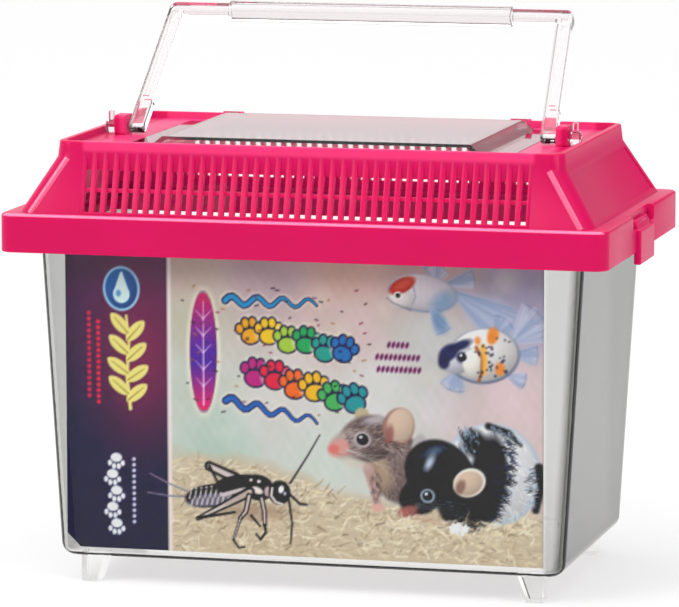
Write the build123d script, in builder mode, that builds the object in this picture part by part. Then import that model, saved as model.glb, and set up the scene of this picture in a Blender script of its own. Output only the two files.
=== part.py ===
from build123d import *
import math
import os

# Small clear-plastic pet and insect carrier with a pink vented lid, a feeding door and a carrying bail.
#
# Frame: the origin is on the surface that the feet stand on, under the middle of the carrier.
# +X runs along the length, -Y is the front with the printed card, and +Z is up.

os.makedirs("parts", exist_ok=True)

# ---- driving dimensions, in millimetres and degrees ----

# Heights above the surface that the feet stand on.
TANK_UNDERSIDE = 7.7
RIM_BOTTOM = 98.9
LEDGE_TOP = 110.2
END_SLOPE_TOP = 126.0
SIDE_SLOPE_TOP = 127.9
COLLAR_TOP = 131.0
DECK_DEPTH = 2.0

# Tank.
TANK_LENGTH_BOTTOM = 151.6
TANK_WIDTH_BOTTOM = 90.0
TANK_LENGTH_RIM = 162.4
TANK_WIDTH_RIM = 92.0
TANK_CORNER = 5.5
TANK_WALL = 1.6
TANK_FLOOR = 1.4
BOTTOM_ROUND_OUTSIDE = 4.0
BOTTOM_ROUND_INSIDE = 1.5
FLANGE_LENGTH = 172.4
FLANGE_WIDTH = 104.8
FLANGE_THICKNESS = 1.8
FLANGE_LIP_DROP = 4.4
FLANGE_LIP_WALL = 1.4

# Feet.
FOOT_OUTER_X = 69.6
FOOT_OUTER_Y = 42.2
FOOT_LENGTH_TOP = 7.8
FOOT_LENGTH_BOTTOM = 4.8
FOOT_DEPTH = 8.4
FOOT_EDGE_ROUND = 0.5

# Printed card behind the front wall.
CARD_THICKNESS = 0.4
CARD_GAP = 0.05
CARD_BOTTOM = 10.7
CARD_TOP = 101.0
CARD_LEFT_BOTTOM = -69.2
CARD_LEFT_TOP = -73.1
CARD_RIGHT = 70.2

# Lid.
LID_WALL = 1.8
RIM_LENGTH = 181.0
RIM_WIDTH = 109.7
RIM_CORNER = 4.5
RIM_TOP_ROUND = 0.9
RIM_BOTTOM_ROUND = 0.4
SLOPE_LENGTH = 171.5
SLOPE_WIDTH = 100.9
SLOPE_CORNER = 4.0
COLLAR_LENGTH = 150.9
COLLAR_WIDTH = 89.9
COLLAR_CORNER = 4.5
COLLAR_DRAFT = 6.0
COLLAR_TOP_ROUND = 0.5
INSET_BORDER = 1.8
INSET_TOP_SPREAD = 1.5
INSET_DEPTH = 0.5

# Vent slots in the front and back slopes.
SLOT_COUNT = 41
SLOT_PITCH = 3.25
SLOT_GAP = 1.8
SLOT_SILL = 0.6
TOOTH_LENGTH = 8.2
CROSSBAR_DROP = 13.9
CROSSBAR_HEIGHT = 1.1
CROSSBAR_RECESS = 0.75
GRILLE_MARGIN = 1.1

# Feeding door and its well in the deck.
DOOR_LENGTH = 116.0
DOOR_WIDTH = 74.4
DOOR_SHEET = 1.2
DOOR_BOX_HEIGHT = 3.0
DOOR_BOX_LENGTH_BOTTOM = 99.8
DOOR_BOX_LENGTH_TOP = 92.4
DOOR_BOX_WIDTH_BOTTOM = 73.0
DOOR_BOX_WIDTH_TOP = 70.0
DOOR_EDGE_ROUND = 0.4
WELL_CLEARANCE = 0.3
OPENING_LENGTH = 92.0
OPENING_WIDTH = 60.0

# Door hinge, along X at the back of the well.
HINGE_Y = 39.3
HINGE_LIFT = 1.6
HINGE_X = 45.0
BARREL_LENGTH = 4.0
BARREL_RADIUS = 1.4
HINGE_PIN_RADIUS = 0.8
HINGE_PIN_LENGTH = 1.1
HINGE_PIN_CLEARANCE = 0.06
LUG_THICKNESS = 0.9
LUG_GAP = 0.2

# Handle posts and bail.
PIVOT_Y = -4.0
PIVOT_LIFT = 2.3
POST_INNER_X = 65.65
POST_THICKNESS = 3.3
POST_DEPTH = 8.0
POST_HEIGHT = 5.9
POST_TOP_ROUND = 1.0
PIVOT_PIN_RADIUS = 1.2
PIVOT_CLEARANCE = 0.08
BAIL_TILT = 48.0
BAIL_REACH = 48.0
LEG_CENTRE_FOOT = 62.8
LEG_CENTRE_TOP = 60.3
LEG_WIDTH = 4.8
BAIL_DEPTH = 3.7
BAR_HEIGHT = 3.7
BAIL_OUTER_ROUND = 2.3
BAIL_INNER_ROUND = 1.2
BAIL_EDGE_ROUND = 0.6
LEG_END_ROUND = 1.8
GROOVE_WIDTH = 1.9
GROOVE_DEPTH = 0.7
GROOVE_START = 11.0
GRIP_LENGTH = 87.4
GRIP_SIZE = 5.3
GRIP_ROUND = 1.5
KNOB_RADIUS = 2.05
KNOB_THICKNESS = 3.2
KNOB_ROUND = 0.6
KNOB_GAP = 0.25
PIN_OVERLAP = 1.0
KNOB_LUG_THICKNESS = 1.3
KNOB_LUG_DEPTH = 2.2
KNOB_LUG_HEIGHT = 4.5

# Latch tabs in the two end walls of the rim.
RECESS_WIDTH = 32.0
RECESS_HEIGHT = 4.3
RECESS_FLOOR_X = 88.3
RECESS_WALL = 1.4
TAB_WIDTH = 21.0
TAB_SLOT_CLEARANCE = 0.4
TAB_SLOT_DEPTH = 4.4
TAB_PROUD = 1.3
TAB_THICKNESS = 2.1
TAB_BELOW_RIM = 3.6
TAB_ROUND = 0.6
NECK_WIDTH = 18.0
NECK_THICKNESS = 1.0
NECK_GAP = 0.4
RIDGE_LENGTH = 11.0
RIDGE_RADIUS = 0.4
RIDGE_FIRST_DROP = 0.8
RIDGE_SECOND_DROP = 2.0
BEAD_REACH = 0.4
BEAD_HEIGHT = 3.0

# How far a cutting shape runs past the faces that it cuts, and the tolerance for picking edges.
CUT_PAST = 1.0
PICK = 0.01

# ---- values worked out from the driving dimensions ----

DECK_TOP = COLLAR_TOP - DECK_DEPTH
DECK_UNDERSIDE = DECK_TOP - 2.0 * DOOR_SHEET
LEDGE_UNDERSIDE = LEDGE_TOP - LID_WALL
TOOTH_BOTTOM = COLLAR_TOP - TOOTH_LENGTH
WELL_FLOOR = DECK_TOP - DOOR_SHEET
PIVOT_Z = DECK_TOP + PIVOT_LIFT
HINGE_Z = DECK_TOP + HINGE_LIFT
DOOR_TOP = DECK_TOP + DOOR_BOX_HEIGHT

# The collar widens downward; its own size is given at its top.
COLLAR_SPREAD = 2.0 * math.tan(math.radians(COLLAR_DRAFT))
COLLAR_LENGTH_FOOT = COLLAR_LENGTH + COLLAR_SPREAD * TOOTH_LENGTH
COLLAR_WIDTH_FOOT = COLLAR_WIDTH + COLLAR_SPREAD * TOOTH_LENGTH
COLLAR_LENGTH_END = COLLAR_LENGTH + COLLAR_SPREAD * (COLLAR_TOP - END_SLOPE_TOP)
COLLAR_WIDTH_SIDE = COLLAR_WIDTH + COLLAR_SPREAD * (COLLAR_TOP - SIDE_SLOPE_TOP)

# Horizontal run of each lid slope for one millimetre of rise.
END_RUN = (SLOPE_LENGTH - COLLAR_LENGTH_END) / 2.0 / (END_SLOPE_TOP - LEDGE_TOP)
SIDE_RUN = (SLOPE_WIDTH - COLLAR_WIDTH_SIDE) / 2.0 / (SIDE_SLOPE_TOP - LEDGE_TOP)
END_WALL_RUN = LID_WALL * math.hypot(1.0, END_RUN)
SIDE_WALL_RUN = LID_WALL * math.hypot(1.0, SIDE_RUN)

# Growth of the tank's length and width for one millimetre of height.
TANK_LENGTH_DRAFT = (TANK_LENGTH_RIM - TANK_LENGTH_BOTTOM) / (RIM_BOTTOM - TANK_UNDERSIDE)
TANK_WIDTH_DRAFT = (TANK_WIDTH_RIM - TANK_WIDTH_BOTTOM) / (RIM_BOTTOM - TANK_UNDERSIDE)

GRILLE_HALF = (SLOT_COUNT - 1) * SLOT_PITCH / 2.0 + SLOT_GAP / 2.0 + GRILLE_MARGIN
BAIL_UP = Vector(0, math.sin(math.radians(BAIL_TILT)), math.cos(math.radians(BAIL_TILT)))
BAIL_NORMAL = Vector(0, -math.cos(math.radians(BAIL_TILT)), math.sin(math.radians(BAIL_TILT)))
BAIL_PLANE = Plane(origin=(0, PIVOT_Y, PIVOT_Z), x_dir=(1, 0, 0), z_dir=BAIL_NORMAL)


def slope_length(height):
    """Outside length of the sloping part of the lid at this height."""
    return SLOPE_LENGTH - 2.0 * END_RUN * (height - LEDGE_TOP)


def slope_width(height):
    """Outside width of the sloping part of the lid at this height."""
    return SLOPE_WIDTH - 2.0 * SIDE_RUN * (height - LEDGE_TOP)


def tank_length(height):
    """Outside length of the tank's wall at this height."""
    return TANK_LENGTH_BOTTOM + TANK_LENGTH_DRAFT * (height - TANK_UNDERSIDE)


def tank_width(height):
    """Outside width of the tank's wall at this height."""
    return TANK_WIDTH_BOTTOM + TANK_WIDTH_DRAFT * (height - TANK_UNDERSIDE)


def save(piece, name):
    """Label a finished sub-part and write its STEP file."""
    piece.label = name
    export_step(piece, f"parts/{name}.step")


# ---- tank: one clear moulding with a flange under the lid and four feet ----

INSIDE_FLOOR = TANK_UNDERSIDE + TANK_FLOOR

with BuildPart() as tank_inside:
    with BuildSketch(Plane.XY.offset(INSIDE_FLOOR)):
        RectangleRounded(
            tank_length(INSIDE_FLOOR) - 2.0 * TANK_WALL,
            tank_width(INSIDE_FLOOR) - 2.0 * TANK_WALL,
            TANK_CORNER - TANK_WALL,
        )
    with BuildSketch(Plane.XY.offset(LEDGE_UNDERSIDE)):
        RectangleRounded(
            tank_length(LEDGE_UNDERSIDE) - 2.0 * TANK_WALL,
            tank_width(LEDGE_UNDERSIDE) - 2.0 * TANK_WALL,
            TANK_CORNER - TANK_WALL,
        )
    loft(ruled=True)
    fillet(tank_inside.faces().sort_by(Axis.Z)[0].edges(), BOTTOM_ROUND_INSIDE)

with BuildPart() as tank:
    with BuildSketch(Plane.XY.offset(TANK_UNDERSIDE)):
        RectangleRounded(TANK_LENGTH_BOTTOM, TANK_WIDTH_BOTTOM, TANK_CORNER)
    with BuildSketch(Plane.XY.offset(LEDGE_UNDERSIDE)):
        RectangleRounded(tank_length(LEDGE_UNDERSIDE), tank_width(LEDGE_UNDERSIDE), TANK_CORNER)
    loft(ruled=True)
    fillet(tank.faces().sort_by(Axis.Z)[0].edges(), BOTTOM_ROUND_OUTSIDE)

    # Flange that the lid's ledge rests on, with a turned-down lip.
    with BuildSketch(Plane.XY.offset(LEDGE_UNDERSIDE - FLANGE_THICKNESS)):
        RectangleRounded(FLANGE_LENGTH, FLANGE_WIDTH, RIM_CORNER)
    extrude(amount=FLANGE_THICKNESS)
    with BuildSketch(Plane.XY.offset(LEDGE_UNDERSIDE - FLANGE_LIP_DROP)):
        RectangleRounded(FLANGE_LENGTH, FLANGE_WIDTH, RIM_CORNER)
        RectangleRounded(
            FLANGE_LENGTH - 2.0 * FLANGE_LIP_WALL,
            FLANGE_WIDTH - 2.0 * FLANGE_LIP_WALL,
            RIM_CORNER - FLANGE_LIP_WALL,
            mode=Mode.SUBTRACT,
        )
    extrude(amount=FLANGE_LIP_DROP)

    # Feet: upright outside, slanted on the side that faces the middle.
    foot_top = TANK_UNDERSIDE + TANK_FLOOR / 2.0
    for side_x in (-1, 1):
        for side_y in (-1, 1):
            with BuildSketch(Plane.XZ.offset(-side_y * FOOT_OUTER_Y)):
                with BuildLine():
                    Polyline(
                        (side_x * FOOT_OUTER_X, 0),
                        (side_x * (FOOT_OUTER_X - FOOT_LENGTH_BOTTOM), 0),
                        (side_x * (FOOT_OUTER_X - FOOT_LENGTH_TOP), foot_top),
                        (side_x * FOOT_OUTER_X, foot_top),
                        close=True,
                    )
                make_face()
            extrude(amount=side_y * FOOT_DEPTH)
    fillet(
        [
            edge
            for edge in tank.edges()
            if edge.center().Z < TANK_UNDERSIDE - CUT_PAST and abs(edge.tangent_at(0.5).Z) > 0.5
        ],
        FOOT_EDGE_ROUND,
    )
    add(tank_inside.part, mode=Mode.SUBTRACT)

save(tank.part, "tank")


# ---- printed card, standing against the inside of the front wall ----

def front_wall_inside(height):
    """Y of the inner face of the tank's front wall at this height."""
    return -tank_width(height) / 2.0 + TANK_WALL


CARD_LEAN = math.degrees(math.atan(TANK_WIDTH_DRAFT / 2.0))
CARD_PLANE = Plane(
    origin=(0, front_wall_inside(CARD_BOTTOM) + CARD_GAP, CARD_BOTTOM),
    x_dir=(1, 0, 0),
    z_dir=(0, -math.cos(math.radians(CARD_LEAN)), -math.sin(math.radians(CARD_LEAN))),
)
CARD_HEIGHT = (CARD_TOP - CARD_BOTTOM) / math.cos(math.radians(CARD_LEAN))

with BuildPart() as label_card:
    with BuildSketch(CARD_PLANE):
        with BuildLine():
            Polyline(
                (CARD_LEFT_BOTTOM, 0),
                (CARD_RIGHT, 0),
                (CARD_RIGHT, CARD_HEIGHT),
                (CARD_LEFT_TOP, CARD_HEIGHT),
                close=True,
            )
        make_face()
    extrude(amount=-CARD_THICKNESS)

save(label_card.part, "label_card")


# ---- lid: rim, ledge, four slopes, collar, deck and handle posts in one moulding ----

with BuildPart() as lid_hollow:
    with BuildSketch(Plane.XY.offset(RIM_BOTTOM)):
        RectangleRounded(RIM_LENGTH - 2.0 * LID_WALL, RIM_WIDTH - 2.0 * LID_WALL, RIM_CORNER - LID_WALL)
    extrude(amount=LEDGE_UNDERSIDE - RIM_BOTTOM)
    with BuildSketch(Plane.XY.offset(LEDGE_UNDERSIDE)):
        RectangleRounded(
            slope_length(LEDGE_UNDERSIDE) - 2.0 * END_WALL_RUN,
            slope_width(LEDGE_UNDERSIDE) - 2.0 * SIDE_WALL_RUN,
            SLOPE_CORNER - LID_WALL,
        )
    with BuildSketch(Plane.XY.offset(TOOTH_BOTTOM)):
        RectangleRounded(
            slope_length(TOOTH_BOTTOM) - 2.0 * END_WALL_RUN,
            slope_width(TOOTH_BOTTOM) - 2.0 * SIDE_WALL_RUN,
            COLLAR_CORNER - LID_WALL,
        )
    loft(ruled=True)
    with BuildSketch(Plane.XY.offset(TOOTH_BOTTOM)):
        RectangleRounded(
            COLLAR_LENGTH - 2.0 * LID_WALL, COLLAR_WIDTH - 2.0 * LID_WALL, COLLAR_CORNER - LID_WALL
        )
    extrude(amount=DECK_UNDERSIDE - TOOTH_BOTTOM)

with BuildPart() as lid_shell:
    # Rim with the flat ledge on top.
    with BuildSketch(Plane.XY.offset(RIM_BOTTOM)):
        RectangleRounded(RIM_LENGTH, RIM_WIDTH, RIM_CORNER)
    extrude(amount=LEDGE_TOP - RIM_BOTTOM)
    fillet(lid_shell.faces().sort_by(Axis.Z)[-1].edges(), RIM_TOP_ROUND)
    fillet(lid_shell.faces().sort_by(Axis.Z)[0].edges(), RIM_BOTTOM_ROUND)

    # Four slopes that meet at rounded hips and end inside the collar.
    slope_end = SIDE_SLOPE_TOP + CUT_PAST
    with BuildSketch(Plane.XY.offset(LEDGE_TOP)):
        RectangleRounded(SLOPE_LENGTH, SLOPE_WIDTH, SLOPE_CORNER)
    with BuildSketch(Plane.XY.offset(slope_end)):
        RectangleRounded(slope_length(slope_end), slope_width(slope_end), COLLAR_CORNER)
    loft(ruled=True)

    # Collar around the deck, a little wider at its foot.
    with BuildSketch(Plane.XY.offset(TOOTH_BOTTOM)):
        RectangleRounded(COLLAR_LENGTH_FOOT, COLLAR_WIDTH_FOOT, COLLAR_CORNER)
    with BuildSketch(Plane.XY.offset(COLLAR_TOP)):
        RectangleRounded(COLLAR_LENGTH, COLLAR_WIDTH, COLLAR_CORNER)
    loft(ruled=True)
    fillet(lid_shell.faces().sort_by(Axis.Z)[-1].edges(), COLLAR_TOP_ROUND)

    add(lid_hollow.part, mode=Mode.SUBTRACT)
    with BuildSketch(Plane.XY.offset(DECK_TOP)):
        RectangleRounded(
            COLLAR_LENGTH - 2.0 * LID_WALL, COLLAR_WIDTH - 2.0 * LID_WALL, COLLAR_CORNER - LID_WALL
        )
    extrude(amount=DECK_DEPTH, mode=Mode.SUBTRACT)

    # Well for the feeding door, and the opening under it.
    with BuildSketch(Plane.XY.offset(WELL_FLOOR)):
        Rectangle(DOOR_LENGTH + 2.0 * WELL_CLEARANCE, DOOR_WIDTH + 2.0 * WELL_CLEARANCE)
    extrude(amount=DOOR_SHEET, mode=Mode.SUBTRACT)
    with BuildSketch(Plane.XY.offset(DECK_UNDERSIDE)):
        Rectangle(OPENING_LENGTH, OPENING_WIDTH)
    extrude(amount=DOOR_SHEET, mode=Mode.SUBTRACT)

    # Windows that the two vent grilles fill: outside the collar above, through the slope below.
    for side_y in (-1, 1):
        with BuildSketch(Plane.YZ.offset(-GRILLE_HALF)):
            with BuildLine():
                Polyline(
                    (side_y * (SLOPE_WIDTH / 2.0 + CUT_PAST), LEDGE_TOP),
                    (side_y * (SLOPE_WIDTH / 2.0 + CUT_PAST), SIDE_SLOPE_TOP),
                    (side_y * COLLAR_WIDTH_SIDE / 2.0, SIDE_SLOPE_TOP),
                    (side_y * COLLAR_WIDTH_FOOT / 2.0, TOOTH_BOTTOM),
                    (side_y * (COLLAR_WIDTH / 2.0 - LID_WALL), TOOTH_BOTTOM),
                    (side_y * (COLLAR_WIDTH / 2.0 - LID_WALL), LEDGE_TOP),
                    close=True,
                )
            make_face()
        extrude(amount=2.0 * GRILLE_HALF, mode=Mode.SUBTRACT)

    # Shallow inset panels on the two end slopes.
    for side_x in (-1, 1):
        end_normal = Vector(side_x, 0, END_RUN)
        end_middle = (LEDGE_TOP + END_SLOPE_TOP) / 2.0
        inset_plane = Plane(
            origin=(side_x * slope_length(end_middle) / 2.0, 0, end_middle),
            x_dir=(0, side_x, 0),
            z_dir=end_normal,
        )
        rise = (END_SLOPE_TOP - LEDGE_TOP) / 2.0 * math.hypot(1.0, END_RUN) - INSET_BORDER
        half_bottom = SLOPE_WIDTH / 2.0 - SLOPE_CORNER - INSET_BORDER
        half_top = COLLAR_WIDTH / 2.0 - COLLAR_CORNER - INSET_BORDER + INSET_TOP_SPREAD
        with BuildSketch(inset_plane):
            with BuildLine():
                Polyline(
                    (-half_bottom, -rise),
                    (half_bottom, -rise),
                    (half_top, rise),
                    (-half_top, rise),
                    close=True,
                )
            make_face()
        extrude(amount=-INSET_DEPTH, mode=Mode.SUBTRACT)

    # Handle posts, each with a hole for the bail's pin.
    for side_x in (-1, 1):
        post_middle = side_x * (POST_INNER_X + POST_THICKNESS / 2.0)
        with BuildSketch(Plane.YZ.offset(post_middle)) as post_side:
            with Locations((PIVOT_Y, DECK_TOP + POST_HEIGHT / 2.0)):
                Rectangle(POST_DEPTH, POST_HEIGHT)
            fillet(post_side.vertices().group_by(Axis.Z)[-1], POST_TOP_ROUND)
        extrude(amount=POST_THICKNESS / 2.0, both=True)
        with BuildSketch(Plane.YZ.offset(post_middle)):
            with Locations((PIVOT_Y, PIVOT_Z)):
                Circle(PIVOT_PIN_RADIUS + PIVOT_CLEARANCE)
        extrude(amount=POST_THICKNESS, both=True, mode=Mode.SUBTRACT)

    # Lugs that hold the door's hinge pins.
    for middle_x in (-HINGE_X, HINGE_X):
        for side_x in (-1, 1):
            lug_middle = middle_x + side_x * (BARREL_LENGTH / 2.0 + LUG_GAP + LUG_THICKNESS / 2.0)
            with BuildSketch(Plane.YZ.offset(lug_middle)):
                with Locations((HINGE_Y, (DECK_TOP + HINGE_Z) / 2.0)):
                    Rectangle(2.0 * BARREL_RADIUS, HINGE_LIFT)
                with Locations((HINGE_Y, HINGE_Z)):
                    Circle(BARREL_RADIUS)
                    Circle(HINGE_PIN_RADIUS + HINGE_PIN_CLEARANCE, mode=Mode.SUBTRACT)
            extrude(amount=LUG_THICKNESS / 2.0, both=True)

    # End walls: a recess that opens through the ledge, its floor, and the slot for the latch tab.
    for side_x in (-1, 1):
        recess_middle = side_x * (RECESS_FLOOR_X + RIM_LENGTH / 2.0 + CUT_PAST) / 2.0
        recess_length = RIM_LENGTH / 2.0 + CUT_PAST - RECESS_FLOOR_X
        with BuildSketch(Plane.XY.offset(LEDGE_TOP - RECESS_HEIGHT)):
            with Locations((recess_middle, 0)):
                Rectangle(recess_length, RECESS_WIDTH)
        extrude(amount=RECESS_HEIGHT + CUT_PAST, mode=Mode.SUBTRACT)
        with BuildSketch(Plane.XY.offset(LEDGE_TOP - RECESS_HEIGHT)):
            with Locations((side_x * (RECESS_FLOOR_X - RECESS_WALL / 2.0), 0)):
                Rectangle(RECESS_WALL, RECESS_WIDTH + 2.0 * RECESS_WALL)
        extrude(amount=RECESS_HEIGHT - LID_WALL / 2.0)
        with BuildSketch(Plane.XY.offset(RIM_BOTTOM - CUT_PAST)):
            with Locations((side_x * RIM_LENGTH / 2.0, 0)):
                Rectangle(TAB_SLOT_DEPTH, TAB_WIDTH + 2.0 * TAB_SLOT_CLEARANCE)
        extrude(amount=LEDGE_TOP - RECESS_HEIGHT - RIM_BOTTOM + CUT_PAST, mode=Mode.SUBTRACT)

save(lid_shell.part, "lid_shell")


# ---- vent grilles: the slotted middle of the front and back slopes ----

GRILLE_WALL_RUN = LID_WALL
BAR_TOP = COLLAR_TOP - CROSSBAR_DROP + CROSSBAR_HEIGHT / 2.0
BAR_BOTTOM = BAR_TOP - CROSSBAR_HEIGHT

for side_y, grille_name in ((-1, "vent_grille_front"), (1, "vent_grille_back")):
    with BuildPart() as vent_grille:
        with BuildSketch(Plane.YZ.offset(-GRILLE_HALF)):
            with BuildLine():
                Polyline(
                    (side_y * SLOPE_WIDTH / 2.0, LEDGE_TOP),
                    (side_y * COLLAR_WIDTH_SIDE / 2.0, SIDE_SLOPE_TOP),
                    (side_y * COLLAR_WIDTH_FOOT / 2.0, TOOTH_BOTTOM),
                    (side_y * (slope_width(TOOTH_BOTTOM) / 2.0 - GRILLE_WALL_RUN), TOOTH_BOTTOM),
                    (side_y * (SLOPE_WIDTH / 2.0 - GRILLE_WALL_RUN), LEDGE_TOP),
                    close=True,
                )
            make_face()
        extrude(amount=2.0 * GRILLE_HALF)
        slot_height = SIDE_SLOPE_TOP - LEDGE_TOP - SLOT_SILL + CUT_PAST
        slot_middle = (0, side_y * SLOPE_WIDTH / 2.0, LEDGE_TOP + SLOT_SILL + slot_height / 2.0)
        with Locations(slot_middle):
            with GridLocations(SLOT_PITCH, 0, SLOT_COUNT, 1):
                Box(SLOT_GAP, SLOPE_WIDTH / 3.0, slot_height, mode=Mode.SUBTRACT)
        # Crossbar set back behind the slope's outer face.
        with BuildSketch(Plane.YZ.offset(-GRILLE_HALF + GRILLE_MARGIN / 2.0)):
            with BuildLine():
                Polyline(
                    (side_y * (slope_width(BAR_BOTTOM) / 2.0 - CROSSBAR_RECESS), BAR_BOTTOM),
                    (side_y * (slope_width(BAR_TOP) / 2.0 - CROSSBAR_RECESS), BAR_TOP),
                    (side_y * (slope_width(BAR_TOP) / 2.0 - GRILLE_WALL_RUN), BAR_TOP),
                    (side_y * (slope_width(BAR_BOTTOM) / 2.0 - GRILLE_WALL_RUN), BAR_BOTTOM),
                    close=True,
                )
            make_face()
        extrude(amount=2.0 * GRILLE_HALF - GRILLE_MARGIN)
    save(vent_grille.part, grille_name)


# ---- latch tabs: each hangs in the slot of an end wall on a thin neck ----

TAB_TOP = LEDGE_TOP - RECESS_HEIGHT - TAB_SLOT_CLEARANCE
TAB_BOTTOM = RIM_BOTTOM - TAB_BELOW_RIM
TAB_FACE_X = RIM_LENGTH / 2.0 + TAB_PROUD
TAB_BACK_X = TAB_FACE_X - TAB_THICKNESS
NECK_BACK_X = RECESS_FLOOR_X + NECK_GAP
NECK_TOP = LEDGE_TOP - LID_WALL - NECK_GAP
BEAD_TOP = LEDGE_UNDERSIDE - FLANGE_LIP_DROP - NECK_GAP
BEAD_TIP_X = FLANGE_LENGTH / 2.0 + BEAD_REACH

for side_x, latch_name in ((-1, "latch_left"), (1, "latch_right")):
    with BuildPart() as latch:
        with BuildSketch(Plane.XZ):
            with BuildLine():
                Polyline(
                    (side_x * TAB_BACK_X, TAB_BOTTOM),
                    (side_x * TAB_FACE_X, TAB_BOTTOM),
                    (side_x * TAB_FACE_X, TAB_TOP),
                    (side_x * TAB_BACK_X, TAB_TOP),
                    (side_x * TAB_BACK_X, BEAD_TOP),
                    (side_x * BEAD_TIP_X, BEAD_TOP - BEAD_HEIGHT / 3.0),
                    (side_x * TAB_BACK_X, BEAD_TOP - BEAD_HEIGHT),
                    close=True,
                )
            make_face()
        extrude(amount=TAB_WIDTH / 2.0, both=True)
        outer_edges = [
            edge
            for edge in latch.edges()
            if abs(edge.center().X) > TAB_FACE_X - PICK or edge.center().Z < TAB_BOTTOM + PICK
        ]
        fillet(outer_edges, TAB_ROUND)
        with BuildSketch(Plane.XZ):
            with BuildLine():
                Polyline(
                    (side_x * NECK_BACK_X, NECK_TOP),
                    (side_x * (NECK_BACK_X + NECK_THICKNESS), NECK_TOP),
                    (side_x * (TAB_BACK_X + NECK_THICKNESS), TAB_TOP),
                    (side_x * (TAB_BACK_X + NECK_THICKNESS), TAB_TOP - NECK_THICKNESS),
                    (side_x * TAB_BACK_X, TAB_TOP - NECK_THICKNESS),
                    (side_x * NECK_BACK_X, TAB_TOP + NECK_THICKNESS),
                    close=True,
                )
            make_face()
        extrude(amount=NECK_WIDTH / 2.0, both=True)
        # Two small ridges across the neck.
        for ridge_z in (NECK_TOP - RIDGE_FIRST_DROP, NECK_TOP - RIDGE_SECOND_DROP):
            with BuildSketch(Plane.XZ):
                with Locations((side_x * (NECK_BACK_X + NECK_THICKNESS), ridge_z)):
                    Circle(RIDGE_RADIUS)
            extrude(amount=RIDGE_LENGTH / 2.0, both=True)
    save(latch.part, latch_name)


# ---- feeding door: a raised clear box with a flange, and two hinge barrels at the back ----

with BuildPart() as door_inside:
    with BuildSketch(Plane.XY.offset(WELL_FLOOR)):
        Rectangle(DOOR_BOX_LENGTH_BOTTOM - DOOR_SHEET, DOOR_BOX_WIDTH_BOTTOM - 2.0 * DOOR_SHEET)
    with BuildSketch(Plane.XY.offset(DOOR_TOP - DOOR_SHEET)):
        Rectangle(DOOR_BOX_LENGTH_TOP - 2.0 * DOOR_SHEET, DOOR_BOX_WIDTH_TOP - 2.0 * DOOR_SHEET)
    loft(ruled=True)

with BuildPart() as feeding_door:
    with BuildSketch(Plane.XY.offset(DECK_TOP)):
        Rectangle(DOOR_BOX_LENGTH_BOTTOM, DOOR_BOX_WIDTH_BOTTOM)
    with BuildSketch(Plane.XY.offset(DOOR_TOP)):
        Rectangle(DOOR_BOX_LENGTH_TOP, DOOR_BOX_WIDTH_TOP)
    loft(ruled=True)
    with BuildSketch(Plane.XY.offset(WELL_FLOOR)):
        Rectangle(DOOR_LENGTH, DOOR_WIDTH)
    extrude(amount=DOOR_SHEET)
    fillet(feeding_door.faces().sort_by(Axis.Z)[-1].edges(), DOOR_EDGE_ROUND)
    for middle_x in (-HINGE_X, HINGE_X):
        with BuildSketch(Plane.YZ.offset(middle_x)):
            arm_depth = HINGE_Y - DOOR_BOX_WIDTH_TOP / 2.0
            with Locations((HINGE_Y - arm_depth / 2.0, HINGE_Z - BARREL_RADIUS / 2.0)):
                Rectangle(arm_depth, BARREL_RADIUS)
            with Locations((HINGE_Y, HINGE_Z)):
                Circle(BARREL_RADIUS)
        extrude(amount=BARREL_LENGTH / 2.0, both=True)
        with BuildSketch(Plane.YZ.offset(middle_x)):
            with Locations((HINGE_Y, HINGE_Z)):
                Circle(HINGE_PIN_RADIUS)
        extrude(amount=BARREL_LENGTH / 2.0 + HINGE_PIN_LENGTH, both=True)
    add(door_inside.part, mode=Mode.SUBTRACT)

save(feeding_door.part, "feeding_door")


# ---- handle: a clear bail with a thicker grip, pivot pins, knobs and small lugs ----

LEG_LEAN = (LEG_CENTRE_FOOT - LEG_CENTRE_TOP) / BAIL_REACH
BAIL_FOOT = -BAIL_DEPTH / 2.0
BAIL_TOP = BAIL_REACH + BAR_HEIGHT / 2.0
BAR_UNDER = BAIL_REACH - BAR_HEIGHT / 2.0


def leg_centre(reach):
    """Distance from the middle of the bail to the centre line of a leg, this far along the leg."""
    return LEG_CENTRE_FOOT - LEG_LEAN * reach


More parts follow.
